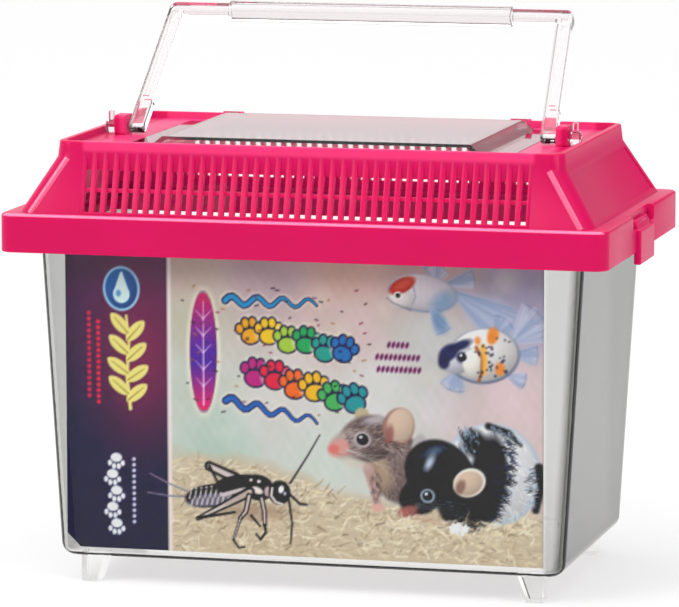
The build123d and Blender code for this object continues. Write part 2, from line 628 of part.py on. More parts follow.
with BuildPart() as handle:
    with BuildSketch(BAIL_PLANE):
        with BuildLine():
            Polyline(
                (-leg_centre(BAIL_FOOT) - LEG_WIDTH / 2.0, BAIL_FOOT),
                (-leg_centre(BAIL_TOP) - LEG_WIDTH / 2.0, BAIL_TOP),
                (leg_centre(BAIL_TOP) + LEG_WIDTH / 2.0, BAIL_TOP),
                (leg_centre(BAIL_FOOT) + LEG_WIDTH / 2.0, BAIL_FOOT),
                (leg_centre(BAIL_FOOT) - LEG_WIDTH / 2.0, BAIL_FOOT),
                (leg_centre(BAR_UNDER) - LEG_WIDTH / 2.0, BAR_UNDER),
                (-leg_centre(BAR_UNDER) + LEG_WIDTH / 2.0, BAR_UNDER),
                (-leg_centre(BAIL_FOOT) + LEG_WIDTH / 2.0, BAIL_FOOT),
                close=True,
            )
        make_face()
    extrude(amount=BAIL_DEPTH / 2.0, both=True)
    across = [
        edge
        for edge in handle.edges()
        if abs(edge.tangent_at(0.5).dot(BAIL_NORMAL)) > 0.99
        and (edge.center() - BAIL_PLANE.origin).dot(BAIL_UP) > BAIL_REACH / 2.0
    ]
    outer_corners = [edge for edge in across if abs(edge.center().X) > LEG_CENTRE_TOP]
    inner_corners = [edge for edge in across if abs(edge.center().X) <= LEG_CENTRE_TOP]
    fillet(outer_corners, BAIL_OUTER_ROUND)
    fillet(inner_corners, BAIL_INNER_ROUND)
    foot_ends = [
        edge
        for edge in handle.edges()
        if (edge.center() - BAIL_PLANE.origin).dot(BAIL_UP) < BAIL_FOOT + PICK
        and abs(edge.tangent_at(0.5).X) > 0.99
    ]
    fillet(foot_ends, LEG_END_ROUND)
    fillet(
        [
            edge
            for edge in handle.edges()
            if abs((edge.center() - BAIL_PLANE.origin).dot(BAIL_NORMAL)) > BAIL_DEPTH / 2.0 - PICK
            and (edge.center() - BAIL_PLANE.origin).dot(BAIL_UP) > BAIL_REACH / 4.0
        ],
        BAIL_EDGE_ROUND,
    )

    # Grooves along the front and back of each leg.
    for side_x in (-1, 1):
        for side_n in (-1, 1):
            with BuildSketch(BAIL_PLANE.offset(side_n * BAIL_DEPTH / 2.0)):
                with BuildLine():
                    Polyline(
                        (side_x * (leg_centre(GROOVE_START) - GROOVE_WIDTH / 2.0), GROOVE_START),
                        (side_x * (leg_centre(GROOVE_START) + GROOVE_WIDTH / 2.0), GROOVE_START),
                        (side_x * (leg_centre(BAR_UNDER) + GROOVE_WIDTH / 2.0), BAR_UNDER),
                        (side_x * (leg_centre(BAR_UNDER) - GROOVE_WIDTH / 2.0), BAR_UNDER),
                        close=True,
                    )
                make_face()
            extrude(amount=GROOVE_DEPTH, both=True, mode=Mode.SUBTRACT)

    # Grip in the middle of the bar.
    grip_centre = BAIL_PLANE.from_local_coords(Vector(0, BAIL_REACH, 0))
    with Locations(Location((0, grip_centre.Y, grip_centre.Z), (-BAIL_TILT, 0, 0))):
        Box(GRIP_LENGTH, GRIP_SIZE, GRIP_SIZE)
    grip_edges = [
        edge
        for edge in handle.edges()
        if abs(edge.center().X) < PICK and abs(edge.length - GRIP_LENGTH) < PICK
    ]
    fillet(grip_edges, GRIP_ROUND)

    # Pivot pins through the posts, and a round knob with a small lug on the end of each.
    for side_x in (-1, 1):
        pin_start = side_x * LEG_CENTRE_FOOT
        knob_start = POST_INNER_X + POST_THICKNESS + KNOB_GAP
        with BuildSketch(Plane.YZ.offset(pin_start)):
            with Locations((PIVOT_Y, PIVOT_Z)):
                Circle(PIVOT_PIN_RADIUS)
        extrude(amount=side_x * (knob_start + PIN_OVERLAP - LEG_CENTRE_FOOT))
        with BuildSketch(Plane.YZ.offset(side_x * knob_start)):
            with Locations((PIVOT_Y, PIVOT_Z)):
                Circle(KNOB_RADIUS)
        extrude(amount=side_x * KNOB_THICKNESS)
        knob_rims = [
            edge
            for edge in handle.edges().filter_by(GeomType.CIRCLE)
            if side_x * edge.center().X > knob_start - PICK and abs(edge.radius - KNOB_RADIUS) < PICK
        ]
        fillet(knob_rims, KNOB_ROUND)
        lug_x = side_x * (knob_start + KNOB_THICKNESS / 2.0)
        with Locations((lug_x, PIVOT_Y, PIVOT_Z + KNOB_LUG_HEIGHT / 2.0)):
            Box(KNOB_LUG_THICKNESS, KNOB_LUG_DEPTH, KNOB_LUG_HEIGHT)

save(handle.part, "handle")
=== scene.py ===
# %% [markdown]
# # A small clear carrier for insects and pets
#
# The carrier is a clear tapered tank on four feet, a pink vented lid, a raised clear door in the
# lid and a clear swinging handle. The engineering model already holds every size and every joint,
# so this lesson keeps to what Blender is good at: crisp moulded edges, clear and coloured plastic,
# and a printed card.

# %% Load the frame
import math
import random

import bpy
import numpy as np
from mathutils import Matrix, Vector


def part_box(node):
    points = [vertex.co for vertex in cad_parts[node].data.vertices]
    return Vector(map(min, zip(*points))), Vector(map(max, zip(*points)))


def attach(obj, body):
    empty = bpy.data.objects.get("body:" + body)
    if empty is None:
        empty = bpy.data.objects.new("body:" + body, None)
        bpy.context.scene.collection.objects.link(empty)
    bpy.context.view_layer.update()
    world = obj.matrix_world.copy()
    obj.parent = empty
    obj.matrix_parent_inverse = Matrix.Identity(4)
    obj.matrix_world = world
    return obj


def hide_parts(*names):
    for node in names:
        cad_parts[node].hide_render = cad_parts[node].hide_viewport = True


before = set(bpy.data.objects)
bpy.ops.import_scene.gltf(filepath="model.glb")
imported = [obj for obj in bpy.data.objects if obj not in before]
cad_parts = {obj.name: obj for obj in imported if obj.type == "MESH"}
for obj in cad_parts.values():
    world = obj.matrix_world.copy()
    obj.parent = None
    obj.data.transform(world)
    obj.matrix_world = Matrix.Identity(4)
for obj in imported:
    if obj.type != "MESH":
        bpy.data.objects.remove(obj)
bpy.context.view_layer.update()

MM = 0.001
print("pieces in the frame:", sorted(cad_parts))

# %% [markdown]
# ## Camera and light
#
# The carrier is seen from a little above and to the right, through a long lens from about a metre
# and a half, so its upright edges stay almost parallel. The camera stands on a circle around the
# middle of the tank, given by its azimuth and elevation, and looks at a point a little lower, which
# frames the handle and the feet.

# %% Camera
CAMERA_AZIMUTH = math.radians(14.24)
CAMERA_ELEVATION = math.radians(7.88)
CAMERA_DISTANCE = 1.5306
CAMERA_LENS = 272.2
ORBIT_CENTRE = Vector((0.0, 0.0, 0.0826))
AIM_POINT = Vector((-0.00135, -0.00078, 0.0795))


def point_at(obj, target):
    """Turns a lamp or camera so that it looks at a point."""
    direction = target - obj.location
    obj.rotation_euler = direction.to_track_quat("-Z", "Y").to_euler()


bpy.ops.object.select_all(action="DESELECT")
bpy.ops.object.camera_add()
camera = bpy.context.object
camera.name = "studio_camera"
camera.data.lens = CAMERA_LENS
camera.data.clip_end = 20.0
camera.location = ORBIT_CENTRE + CAMERA_DISTANCE * Vector((
    math.sin(CAMERA_AZIMUTH) * math.cos(CAMERA_ELEVATION),
    -math.cos(CAMERA_AZIMUTH) * math.cos(CAMERA_ELEVATION),
    math.sin(CAMERA_ELEVATION),
))
point_at(camera, AIM_POINT)
bpy.context.scene.camera = camera
print("camera at", [round(v, 3) for v in camera.location])

# %% [markdown]
# ### The room
#
# Clear plastic shows what is around it. An evenly white room would leave the walls invisible, so
# the room grows darker toward the right and toward the viewer, which draws grey lines along the
# rounded edges.

# %% Room
ROOM_WHITE, ROOM_RIGHT, ROOM_NEAR = 1.05, 0.30, 0.30
world = bpy.data.worlds.new("studio_room")
bpy.context.scene.world = world
world.use_nodes = True
room = world.node_tree
room.nodes.clear()
room_out = room.nodes.new("ShaderNodeOutputWorld")
room_light = room.nodes.new("ShaderNodeBackground")
room.links.new(room_light.outputs[0], room_out.inputs[0])
heading = room.nodes.new("ShaderNodeTexCoord")
split = room.nodes.new("ShaderNodeSeparateXYZ")
room.links.new(heading.outputs["Generated"], split.inputs[0])


def room_ramp(axis, dark_at, pale_at, dark):
    """Brightness that rises from dark to full along one axis of the room."""
    ramp = room.nodes.new("ShaderNodeMapRange")
    ramp.interpolation_type = "SMOOTHSTEP"
    ramp.inputs["From Min"].default_value = dark_at
    ramp.inputs["From Max"].default_value = pale_at
    ramp.inputs["To Min"].default_value = dark
    ramp.inputs["To Max"].default_value = 1.0
    room.links.new(split.outputs[axis], ramp.inputs["Value"])
    return ramp


right_side = room_ramp("X", 0.10, -0.08, ROOM_RIGHT)
near_side = room_ramp("Y", -0.35, 0.10, ROOM_NEAR)
both_sides = room.nodes.new("ShaderNodeMath")
both_sides.operation = "MULTIPLY"
room.links.new(right_side.outputs["Result"], both_sides.inputs[0])
room.links.new(near_side.outputs["Result"], both_sides.inputs[1])
brightness = room.nodes.new("ShaderNodeMath")
brightness.operation = "MULTIPLY"
brightness.inputs[1].default_value = ROOM_WHITE
room.links.new(both_sides.outputs[0], brightness.inputs[0])
room_light.inputs["Color"].default_value = (1.0, 1.0, 1.0, 1.0)
room.links.new(brightness.outputs[0], room_light.inputs["Strength"])
print("room:", world.name)

# %% [markdown]
# ### Lamps and floor
#
# Two square lamps, high on either side of the viewer, light the front and the right end. A very
# soft sun from straight above lights the slopes and the floor. The floor glows a little, so shadows
# on it stay pale.

# %% Lamps
LAMP_POWER_LEFT, LAMP_POWER_RIGHT = 8.0, 9.0
SUN_POWER, SUN_SOFTNESS = 2.2, math.radians(70)
SUN_TILT = (math.radians(22), math.radians(-4), 0)


def soft_lamp(name, location, size, power, target):
    """A square area lamp that looks at a point."""
    bpy.ops.object.light_add(type="AREA", location=location)
    lamp = bpy.context.object
    lamp.name = name
    lamp.data.shape = "SQUARE"
    lamp.data.size = size
    lamp.data.energy = power
    point_at(lamp, target)
    return lamp


key_lamp = soft_lamp("key_lamp", (-0.75, -0.85, 0.75), 0.6, LAMP_POWER_LEFT, ORBIT_CENTRE)
fill_lamp = soft_lamp("fill_lamp", (1.10, -0.60, 0.70), 0.5, LAMP_POWER_RIGHT, ORBIT_CENTRE)
bpy.ops.object.light_add(type="SUN", location=(0.0, 0.0, 2.0), rotation=SUN_TILT)
sky_lamp = bpy.context.object
sky_lamp.name = "sky_lamp"
sky_lamp.data.energy = SUN_POWER
sky_lamp.data.angle = SUN_SOFTNESS
print("lamps:", key_lamp.name, fill_lamp.name, sky_lamp.name)

# %% Floor
FLOOR_GREY, FLOOR_GLOW = 0.30, 0.62
bpy.ops.mesh.primitive_plane_add(size=8.0, location=(0, 0, 0))
floor = bpy.context.object
floor.name = "studio_floor"
floor_finish = bpy.data.materials.new("studio_floor")
floor_finish.use_nodes = True
floor_shader = floor_finish.node_tree.nodes["Principled BSDF"]
floor_shader.inputs["Base Color"].default_value = (FLOOR_GREY, FLOOR_GREY, FLOOR_GREY, 1.0)
floor_shader.inputs["Emission Color"].default_value = (1.0, 1.0, 1.0, 1.0)
floor_shader.inputs["Emission Strength"].default_value = FLOOR_GLOW
floor_shader.inputs["Roughness"].default_value = 0.9
floor_shader.inputs["Specular IOR Level"].default_value = 0.1
floor.data.materials.append(floor_finish)
bpy.context.scene.view_settings.view_transform = "Standard"
print("floor:", floor.name)

# %% [markdown]
# ## Shared effect: moulded surface
#
# Every moulded part has the same small faults: a fine grain from the tool, and broad, shallow waves
# where the plastic shrank. One node group makes both from Object coordinates, and each material
# sets how strong they are.

# %% Moulded surface group
def new_socket(group, name, direction, kind, value=None):
    """Adds one named input or output to a node group."""
    socket = group.interface.new_socket(name=name, in_out=direction, socket_type=kind)
    if value is not None:
        socket.default_value = value
    return socket


def moulded_surface_group():
    """Grain and shrink waves as a normal, and a roughness that changes a little over the surface."""
    group = bpy.data.node_groups.new("moulded_surface", "ShaderNodeTree")
    new_socket(group, "Grain Scale", "INPUT", "NodeSocketFloat", 2500.0)
    new_socket(group, "Grain Depth", "INPUT", "NodeSocketFloat", 0.00001)
    new_socket(group, "Wave Depth", "INPUT", "NodeSocketFloat", 0.00005)
    new_socket(group, "Roughness", "INPUT", "NodeSocketFloat", 0.3)
    new_socket(group, "Roughness Change", "INPUT", "NodeSocketFloat", 0.05)
    new_socket(group, "Normal", "OUTPUT", "NodeSocketVector")
    new_socket(group, "Roughness", "OUTPUT", "NodeSocketFloat")
    new_socket(group, "Mottle", "OUTPUT", "NodeSocketFloat")
    nodes, links = group.nodes, group.links
    inputs = nodes.new("NodeGroupInput")
    outputs = nodes.new("NodeGroupOutput")
    place = nodes.new("ShaderNodeTexCoord")
    grain = nodes.new("ShaderNodeTexNoise")
    grain.inputs["Detail"].default_value = 2.0
    wave = nodes.new("ShaderNodeTexNoise")
    wave.inputs["Scale"].default_value = 28.0
    wave.inputs["Detail"].default_value = 1.0
    links.new(place.outputs["Object"], grain.inputs["Vector"])
    links.new(place.outputs["Object"], wave.inputs["Vector"])
    links.new(inputs.outputs["Grain Scale"], grain.inputs["Scale"])
    wave_bump = nodes.new("ShaderNodeBump")
    wave_bump.inputs["Strength"].default_value = 1.0
    grain_bump = nodes.new("ShaderNodeBump")
    grain_bump.inputs["Strength"].default_value = 1.0
    links.new(inputs.outputs["Wave Depth"], wave_bump.inputs["Distance"])
    links.new(wave.outputs["Fac"], wave_bump.inputs["Height"])
    links.new(inputs.outputs["Grain Depth"], grain_bump.inputs["Distance"])
    links.new(grain.outputs["Fac"], grain_bump.inputs["Height"])
    links.new(wave_bump.outputs["Normal"], grain_bump.inputs["Normal"])
    links.new(grain_bump.outputs["Normal"], outputs.inputs["Normal"])
    centred = nodes.new("ShaderNodeMath")
    centred.operation = "SUBTRACT"
    centred.inputs[1].default_value = 0.5
    links.new(grain.outputs["Fac"], centred.inputs[0])
    rougher = nodes.new("ShaderNodeMath")
    rougher.operation = "MULTIPLY_ADD"
    links.new(centred.outputs[0], rougher.inputs[0])
    links.new(inputs.outputs["Roughness Change"], rougher.inputs[1])
    links.new(inputs.outputs["Roughness"], rougher.inputs[2])
    links.new(rougher.outputs[0], outputs.inputs["Roughness"])
    links.new(wave.outputs["Fac"], outputs.inputs["Mottle"])
    return group


MOULDED_SURFACE = moulded_surface_group()
print("shared group:", MOULDED_SURFACE.name)

# %% [markdown]
# ## Material helpers
#
# Every material starts the same way and mixes its colours from a few plain steps, so those steps
# get short names.

# %% Material helpers
def start_material(name):
    """A new node material, its Principled shader, and its node and link lists."""
    material = bpy.data.materials.new(name)
    material.use_nodes = True
    tree = material.node_tree
    return material, tree.nodes["Principled BSDF"], tree.nodes, tree.links


def add_moulded_surface(nodes, links, shader, grain_scale, grain_depth, wave_depth, roughness, change):
    """Puts the shared moulded surface into a material and feeds its normal and roughness to the shader."""
    surface = nodes.new("ShaderNodeGroup")
    surface.node_tree = MOULDED_SURFACE
    surface.inputs["Grain Scale"].default_value = grain_scale
    surface.inputs["Grain Depth"].default_value = grain_depth
    surface.inputs["Wave Depth"].default_value = wave_depth
    surface.inputs["Roughness"].default_value = roughness
    surface.inputs["Roughness Change"].default_value = change
    links.new(surface.outputs["Normal"], shader.inputs["Normal"])
    links.new(surface.outputs["Roughness"], shader.inputs["Roughness"])
    return surface


def math_node(nodes, links, operation, *values):
    """A math node whose inputs are numbers or the outputs of other nodes."""
    node = nodes.new("ShaderNodeMath")
    node.operation = operation
    for socket, value in zip(node.inputs, values):
        if isinstance(value, (int, float)):
            socket.default_value = value
        else:
            links.new(value, socket)
    return node.outputs[0]


def fade(nodes, links, value, start, stop):
    """A smooth step from 0 to 1 between two values."""
    step = nodes.new("ShaderNodeMapRange")
    step.interpolation_type = "SMOOTHSTEP"
    step.inputs["From Min"].default_value = start
    step.inputs["From Max"].default_value = stop
    links.new(value, step.inputs["Value"])
    return step.outputs["Result"]


def tint_mix(nodes, links, share, first, second):
    """Mixes two tints, each a colour or the output of another node."""
    mix = nodes.new("ShaderNodeMix")
    mix.data_type = "RGBA"
    links.new(share, mix.inputs[0])
    for socket, tint in ((mix.inputs[6], first), (mix.inputs[7], second)):
        if isinstance(tint, tuple):
            socket.default_value = tint + (1.0,)
        else:
            links.new(tint, socket)
    return mix.outputs[2]


def object_place(nodes, links):
    """The X, Y and Z outputs of a point's place on the object, in metres."""
    place = nodes.new("ShaderNodeTexCoord")
    parts = nodes.new("ShaderNodeSeparateXYZ")
    links.new(place.outputs["Object"], parts.inputs[0])
    return parts.outputs


print("material helpers ready")

# %% [markdown]
# ## Pink lid plastic
#
# The lid is a bright magenta-pink, dyed through, with a satin face that shows a very fine grain.
# The dye is a little lighter where the plastic is mottled, so the colour is mixed from two close
# pinks by the broad waves. A painted sheen makes it paler on the long faces of the collar and on
# the top of the deck, and a painted highlight runs along the rounded edge of the ledge. The plastic
# also glows faintly, which is painted light. A second, glossier pink, made paler as a painted
# highlight, is kept for edges.

# %% Pink plastic
# Painted sheen: above these heights and within these widths, the collar's long faces and the deck take a
# paler pink.
COLLAR_SHEEN_PINK, COLLAR_SHEEN_FOOT, COLLAR_SHEEN_FULL = (0.55, 0.030, 0.125), 0.1274, 0.1290
SHEEN_PANEL_END, SHEEN_PANEL_FULL = 0.0680, 0.0665
# Painted highlight: a paler pink along the rounded front and back edges of the ledge.
LEDGE_HIGHLIGHT_PINK, LEDGE_HIGHLIGHT_FOOT, LEDGE_HIGHLIGHT_FULL = (0.80, 0.20, 0.33), 0.1094, 0.1098
LEDGE_HIGHLIGHT_BACK, LEDGE_HIGHLIGHT_FRONT = 0.0528, 0.0536
# Painted light: the pink plastic glows faintly, though it is no lamp.
PINK_PAINTED_GLOW, PAINTED_GLOW_STRENGTH = (0.60, 0.008, 0.12, 1.0), 0.30


def pink_plastic(name, first, second, roughness, shine):
    """Dyed plastic whose colour wanders between two close pinks, with a painted sheen, a painted highlight
    and a faint painted glow.
    """
    material, shader, nodes, links = start_material(name)
    surface = add_moulded_surface(nodes, links, shader, 2600.0, 0.000012, 0.00006, roughness, 0.15)
    place = object_place(nodes, links)
    dyed = tint_mix(nodes, links, surface.outputs["Mottle"], first, second)
    off_x = math_node(nodes, links, "ABSOLUTE", place["X"])
    off_y = math_node(nodes, links, "ABSOLUTE", place["Y"])
    # Painted sheen on the collar's long faces and the deck.
    high_up = fade(nodes, links, place["Z"], COLLAR_SHEEN_FOOT, COLLAR_SHEEN_FULL)
    in_panel = fade(nodes, links, off_x, SHEEN_PANEL_END, SHEEN_PANEL_FULL)
    collar_sheen_share = math_node(nodes, links, "MULTIPLY", high_up, in_panel)
    sheened = tint_mix(nodes, links, collar_sheen_share, dyed, COLLAR_SHEEN_PINK)
    # Painted highlight along the rounded edge of the ledge.
    above = fade(nodes, links, place["Z"], LEDGE_HIGHLIGHT_FOOT, LEDGE_HIGHLIGHT_FULL)
    outside = fade(nodes, links, off_y, LEDGE_HIGHLIGHT_BACK, LEDGE_HIGHLIGHT_FRONT)
    on_ledge_highlight = math_node(nodes, links, "MULTIPLY", above, outside)
    highlighted = tint_mix(nodes, links, on_ledge_highlight, sheened, LEDGE_HIGHLIGHT_PINK)
    links.new(highlighted, shader.inputs["Base Color"])
    shader.inputs["IOR"].default_value = 1.5
    shader.inputs["Specular IOR Level"].default_value = shine
    # Painted light: a faint glow of the plastic's own.
    shader.inputs["Emission Color"].default_value = PINK_PAINTED_GLOW
    shader.inputs["Emission Strength"].default_value = PAINTED_GLOW_STRENGTH
    shader.inputs["Subsurface Weight"].default_value = 0.5
    shader.inputs["Subsurface Radius"].default_value = (1.0, 0.10, 0.25)
    shader.inputs["Subsurface Scale"].default_value = 0.004
    return material


PINK_PLASTIC = pink_plastic("pink_plastic", (0.37, 0.0009, 0.047), (0.44, 0.0018, 0.066), 0.36, 0.12)
# The edge pink is glossier, and paler as a painted highlight.
PINK_EDGE_HIGHLIGHT = pink_plastic("pink_edge_highlight", (0.66, 0.090, 0.180), (0.74, 0.130, 0.230), 0.26, 0.5)
print("materials:", PINK_PLASTIC.name, PINK_EDGE_HIGHLIGHT.name)

# %% [markdown]
# ## Clear plastic
#
# Tank, door and handle are clear polystyrene. They bend light less here than the real plastic does,
# which keeps the glare of the pale floor off the card. The tank's walls are polished; the handle
# and door are a touch hazier, with faint streaks where the plastic flowed. Grey painted shade and
# reflection darken the tank toward its ends, past the ends of the card and most on the end walls,
# and more on the right than on the left.

# %% Clear plastic
DOOR_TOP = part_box("feeding_door")[1][2]
TOP_FADE_START, TOP_FADE_END = DOOR_TOP - 0.0006, DOOR_TOP - 0.0002
# Painted shade and reflection: past these places the tank turns grey, in strips beside the card and on the
# end walls.
STRIP_SHADE_START, STRIP_SHADE_END = 0.0695, 0.0715
WALL_SLANT, END_SHADE_START, END_SHADE_END = -0.0592, 0.0715, 0.0745
TANK_BENDING = 1.28


def trim_clear(name, first, second, top, bending):
    """Clear plastic with faint flow streaks, in a tint of its own at the height of the door's flat top."""
    material, shader, nodes, links = start_material(name)
    surface = add_moulded_surface(nodes, links, shader, 900.0, 0.000001, 0.00004, 0.05, 0.02)
    place = object_place(nodes, links)
    streaked = tint_mix(nodes, links, surface.outputs["Mottle"], first, second)
    on_top = fade(nodes, links, place["Z"], TOP_FADE_START, TOP_FADE_END)
    colour = tint_mix(nodes, links, on_top, streaked, top)
    links.new(colour, shader.inputs["Base Color"])
    shader.inputs["IOR"].default_value = bending
    shader.inputs["Transmission Weight"].default_value = 1.0
    return material


def tank_clear():
    """Clear plastic of the tank: clearest in the middle of its long walls, and grey with painted shade and
    reflection toward its ends, more on the right.
    """
    material, shader, nodes, links = start_material("clear_tank_wall")
    surface = add_moulded_surface(nodes, links, shader, 900.0, 0.000001, 0.00002, 0.02, 0.02)
    place = object_place(nodes, links)
    off_middle = math_node(nodes, links, "ABSOLUTE", place["X"])
    upright = math_node(nodes, links, "MULTIPLY", place["Z"], WALL_SLANT)
    squared_up = math_node(nodes, links, "ADD", off_middle, upright)
    beside_card = fade(nodes, links, off_middle, STRIP_SHADE_START, STRIP_SHADE_END)
    in_end_wall = fade(nodes, links, squared_up, END_SHADE_START, END_SHADE_END)
    middle = tint_mix(nodes, links, surface.outputs["Mottle"], (0.955, 0.955, 0.95), (0.975, 0.975, 0.97))
    # Painted shade: the grey deepens from left to right.
    right_shade_share = fade(nodes, links, place["X"], -0.06, 0.06)
    # Painted shade and reflection: grey strips on the long walls beside the card.
    shaded_strips = tint_mix(nodes, links, right_shade_share, (0.86, 0.86, 0.85), (0.64, 0.64, 0.625))
    sides = tint_mix(nodes, links, beside_card, middle, shaded_strips)
    # Painted shade and reflection: grey end walls.
    walls = tint_mix(nodes, links, right_shade_share, (0.44, 0.44, 0.425), (0.19, 0.19, 0.175))
    ends = tint_mix(nodes, links, in_end_wall, sides, walls)
    links.new(ends, shader.inputs["Base Color"])
    shader.inputs["IOR"].default_value = TANK_BENDING
    shader.inputs["Transmission Weight"].default_value = 1.0
    return material


TANK_CLEAR = tank_clear()
HANDLE_BENDING, DOOR_BENDING = 1.42, 1.36
HANDLE_CLEAR = trim_clear(
    "clear_handle", (0.86, 0.81, 0.82), (0.90, 0.86, 0.87), (0.88, 0.83, 0.84), HANDLE_BENDING
)
DOOR_CLEAR = trim_clear(
    "clear_door", (0.86, 0.78, 0.80), (0.92, 0.86, 0.87), (0.58, 0.44, 0.45), DOOR_BENDING
)
print("materials:", TANK_CLEAR.name, HANDLE_CLEAR.name, DOOR_CLEAR.name)

# %% [markdown]
# ## Printed card: the canvas
#
# The card behind the front wall is printed with a soft painted picture: two mice in wood shavings,
# a cricket, two fancy fish, a dark band down the left side and a row of bright paw prints. The
# picture is our own and is painted here with a few brushes, straight onto the points of a fine
# grid. All places are in millimetres on the card, x along it and z up, and every stroke that is
# placed by chance comes from one seeded generator.

# %% Canvas
CARD_LEFT, CARD_RIGHT = -73.1, 70.2
CARD_FOOT, CARD_HEAD = 10.7, 101.0
CARD_COLUMNS, CARD_ROWS = 380, 240
chance = random.Random(11)
column_x = np.linspace(CARD_LEFT, CARD_RIGHT, CARD_COLUMNS)
row_z = np.linspace(CARD_FOOT, CARD_HEAD, CARD_ROWS)
CANVAS_X, CANVAS_Z = np.meshgrid(column_x, row_z)
ink = np.ones((CARD_ROWS, CARD_COLUMNS, 3))
print("canvas:", ink.shape)

# %% [markdown]
# ### Brushes
#
# Four brushes do all the painting: an oval, a stroke, short fur, and a cloud of slow waves that
# mottles the ground.

# %% Brushes
def window(x, z, reach):
    """The part of the canvas that lies within this reach of a place."""
    rows = np.searchsorted(row_z, [z - reach, z + reach])
    columns = np.searchsorted(column_x, [x - reach, x + reach])
    return slice(*rows), slice(*columns)


def lay(part, cover, colour):
    """Lays colour over part of the canvas, as strongly as the cover says."""
    ink[part] += (np.asarray(colour) - ink[part]) * cover[..., None]


def oval(x, z, rx, rz, colour, turn=0.0, soft=0.5, cover=1.0, shade=0.0):
    """A soft-edged oval brush mark, darker toward its lower right when shaded."""
    part = window(x, z, max(rx, rz) + soft)
    dx, dz = CANVAS_X[part] - x, CANVAS_Z[part] - z
    c, s = math.cos(math.radians(turn)), math.sin(math.radians(turn))
    along, across = (dx * c + dz * s) / rx, (dz * c - dx * s) / rz
    distance = np.hypot(along, across)
    edge = np.clip((1.0 - distance) * min(rx, rz) / soft + 0.5, 0.0, 1.0)
    tone = 1.0 + shade * (0.5 * dz / rz - 0.35 * dx / rx - 0.45 * distance ** 2)
    lay(part, edge * cover, np.clip(np.asarray(colour) * tone[..., None], 0.0, 1.0))


def stroke(points, width, colour, end=1.0, soft=0.45, cover=1.0):
    """A stroke through the points, whose width changes steadily to end times the width."""
    xs, zs = [p[0] for p in points], [p[1] for p in points]
    middle_x, middle_z = (min(xs) + max(xs)) / 2.0, (min(zs) + max(zs)) / 2.0
    part = window(middle_x, middle_z, max(max(xs) - min(xs), max(zs) - min(zs)) / 2.0 + width + soft)
    px, pz = CANVAS_X[part], CANVAS_Z[part]
    mark = np.zeros(px.shape)
    legs = len(points) - 1
    for leg, ((ax, az), (bx, bz)) in enumerate(zip(points, points[1:])):
        length = max((bx - ax) ** 2 + (bz - az) ** 2, 1e-6)
        along = np.clip(((px - ax) * (bx - ax) + (pz - az) * (bz - az)) / length, 0.0, 1.0)
        away = np.hypot(px - ax - along * (bx - ax), pz - az - along * (bz - az))
        half = width / 2.0 * (1.0 + (end - 1.0) * (leg + along) / legs)
        mark = np.maximum(mark, np.clip((half - away) / soft + 0.5, 0.0, 1.0))
    lay(part, mark * cover, colour)


def fur(x, z, rx, rz, colours, count, length, flow, turn=0.0, width=0.4, cover=0.6):
    """Short hairs scattered over an oval, lying along the flow angle."""
    for _ in range(count):
        away, around = math.sqrt(chance.random()), chance.uniform(0.0, 2.0 * math.pi)
        ox, oz = away * rx * math.cos(around), away * rz * math.sin(around)
        c, s = math.cos(math.radians(turn)), math.sin(math.radians(turn))
        hx, hz = x + ox * c - oz * s, z + ox * s + oz * c
        lie = math.radians(flow + chance.gauss(0.0, 16.0))
        reach = length * chance.uniform(0.6, 1.3)
        tip = (hx + reach * math.cos(lie), hz + reach * math.sin(lie))
        stroke([(hx, hz), tip], width, chance.choice(colours), end=0.2, soft=0.4, cover=cover)


def cloud(scale, seed):
    """A smooth field between about -1 and 1, made from a few crossed waves."""
    wave_chance = random.Random(seed)
    field = np.zeros(CANVAS_X.shape)
    for _ in range(9):
        heading = wave_chance.uniform(0.0, math.pi)
        pitch = scale * wave_chance.uniform(0.6, 1.7)
        shift = wave_chance.uniform(0.0, 2.0 * math.pi)
        run = CANVAS_X * math.cos(heading) + CANVAS_Z * math.sin(heading)
        field += np.sin(2.0 * math.pi * run / pitch + shift)
    return field / 4.5


print("brushes:", oval.__name__, stroke.__name__, fur.__name__, cloud.__name__)

# %% [markdown]
# ### Pastel ground, wood shavings and dark band
#
# The ground fades between airbrushed pastels. The shavings are many short pale curls over a tan bed
# with small shadows between them. The band runs from violet-blue through plum to a deep blue at its
# foot.

# %% Ground, shavings and band
PASTELS = (
    (-38, 93, (0.76, 0.68, 0.64)), (-12, 94, (0.73, 0.64, 0.67)), (12, 95, (0.82, 0.68, 0.64)),
    (36, 95, (0.74, 0.62, 0.62)), (64, 90, (0.62, 0.59, 0.69)), (-38, 80, (0.74, 0.73, 0.66)),
    (14, 80, (0.78, 0.70, 0.69)), (36, 76, (0.74, 0.74, 0.73)), (-38, 60, (0.74, 0.77, 0.73)),
    (-8, 54, (0.80, 0.79, 0.78)), (22, 60, (0.81, 0.81, 0.80)), (64, 58, (0.82, 0.74, 0.75)),
    (-26, 43, (0.70, 0.77, 0.73)), (2, 42, (0.77, 0.80, 0.77)), (66, 42, (0.81, 0.74, 0.73)),
)
weights = np.zeros(CANVAS_X.shape)
ground = np.zeros(ink.shape)
for place_x, place_z, pastel in PASTELS:
    weight = 1.0 / ((CANVAS_X - place_x) ** 2 + (CANVAS_Z - place_z) ** 2 + 40.0) ** 2
    weights += weight
    ground += weight[..., None] * np.array(pastel)
ink[:] = ground / weights[..., None]
mottle = 0.016 * cloud(14.0, 3) + 0.010 * cloud(4.0, 4)
ink += mottle[..., None] * np.array((1.0, 0.7, 1.1))
for _ in range(14):
    oval(chance.uniform(-40, 60), chance.uniform(46, 95), chance.uniform(1.5, 4), chance.uniform(1.5, 4),
         (0.86, 0.84, 0.78), soft=3.0, cover=0.22)

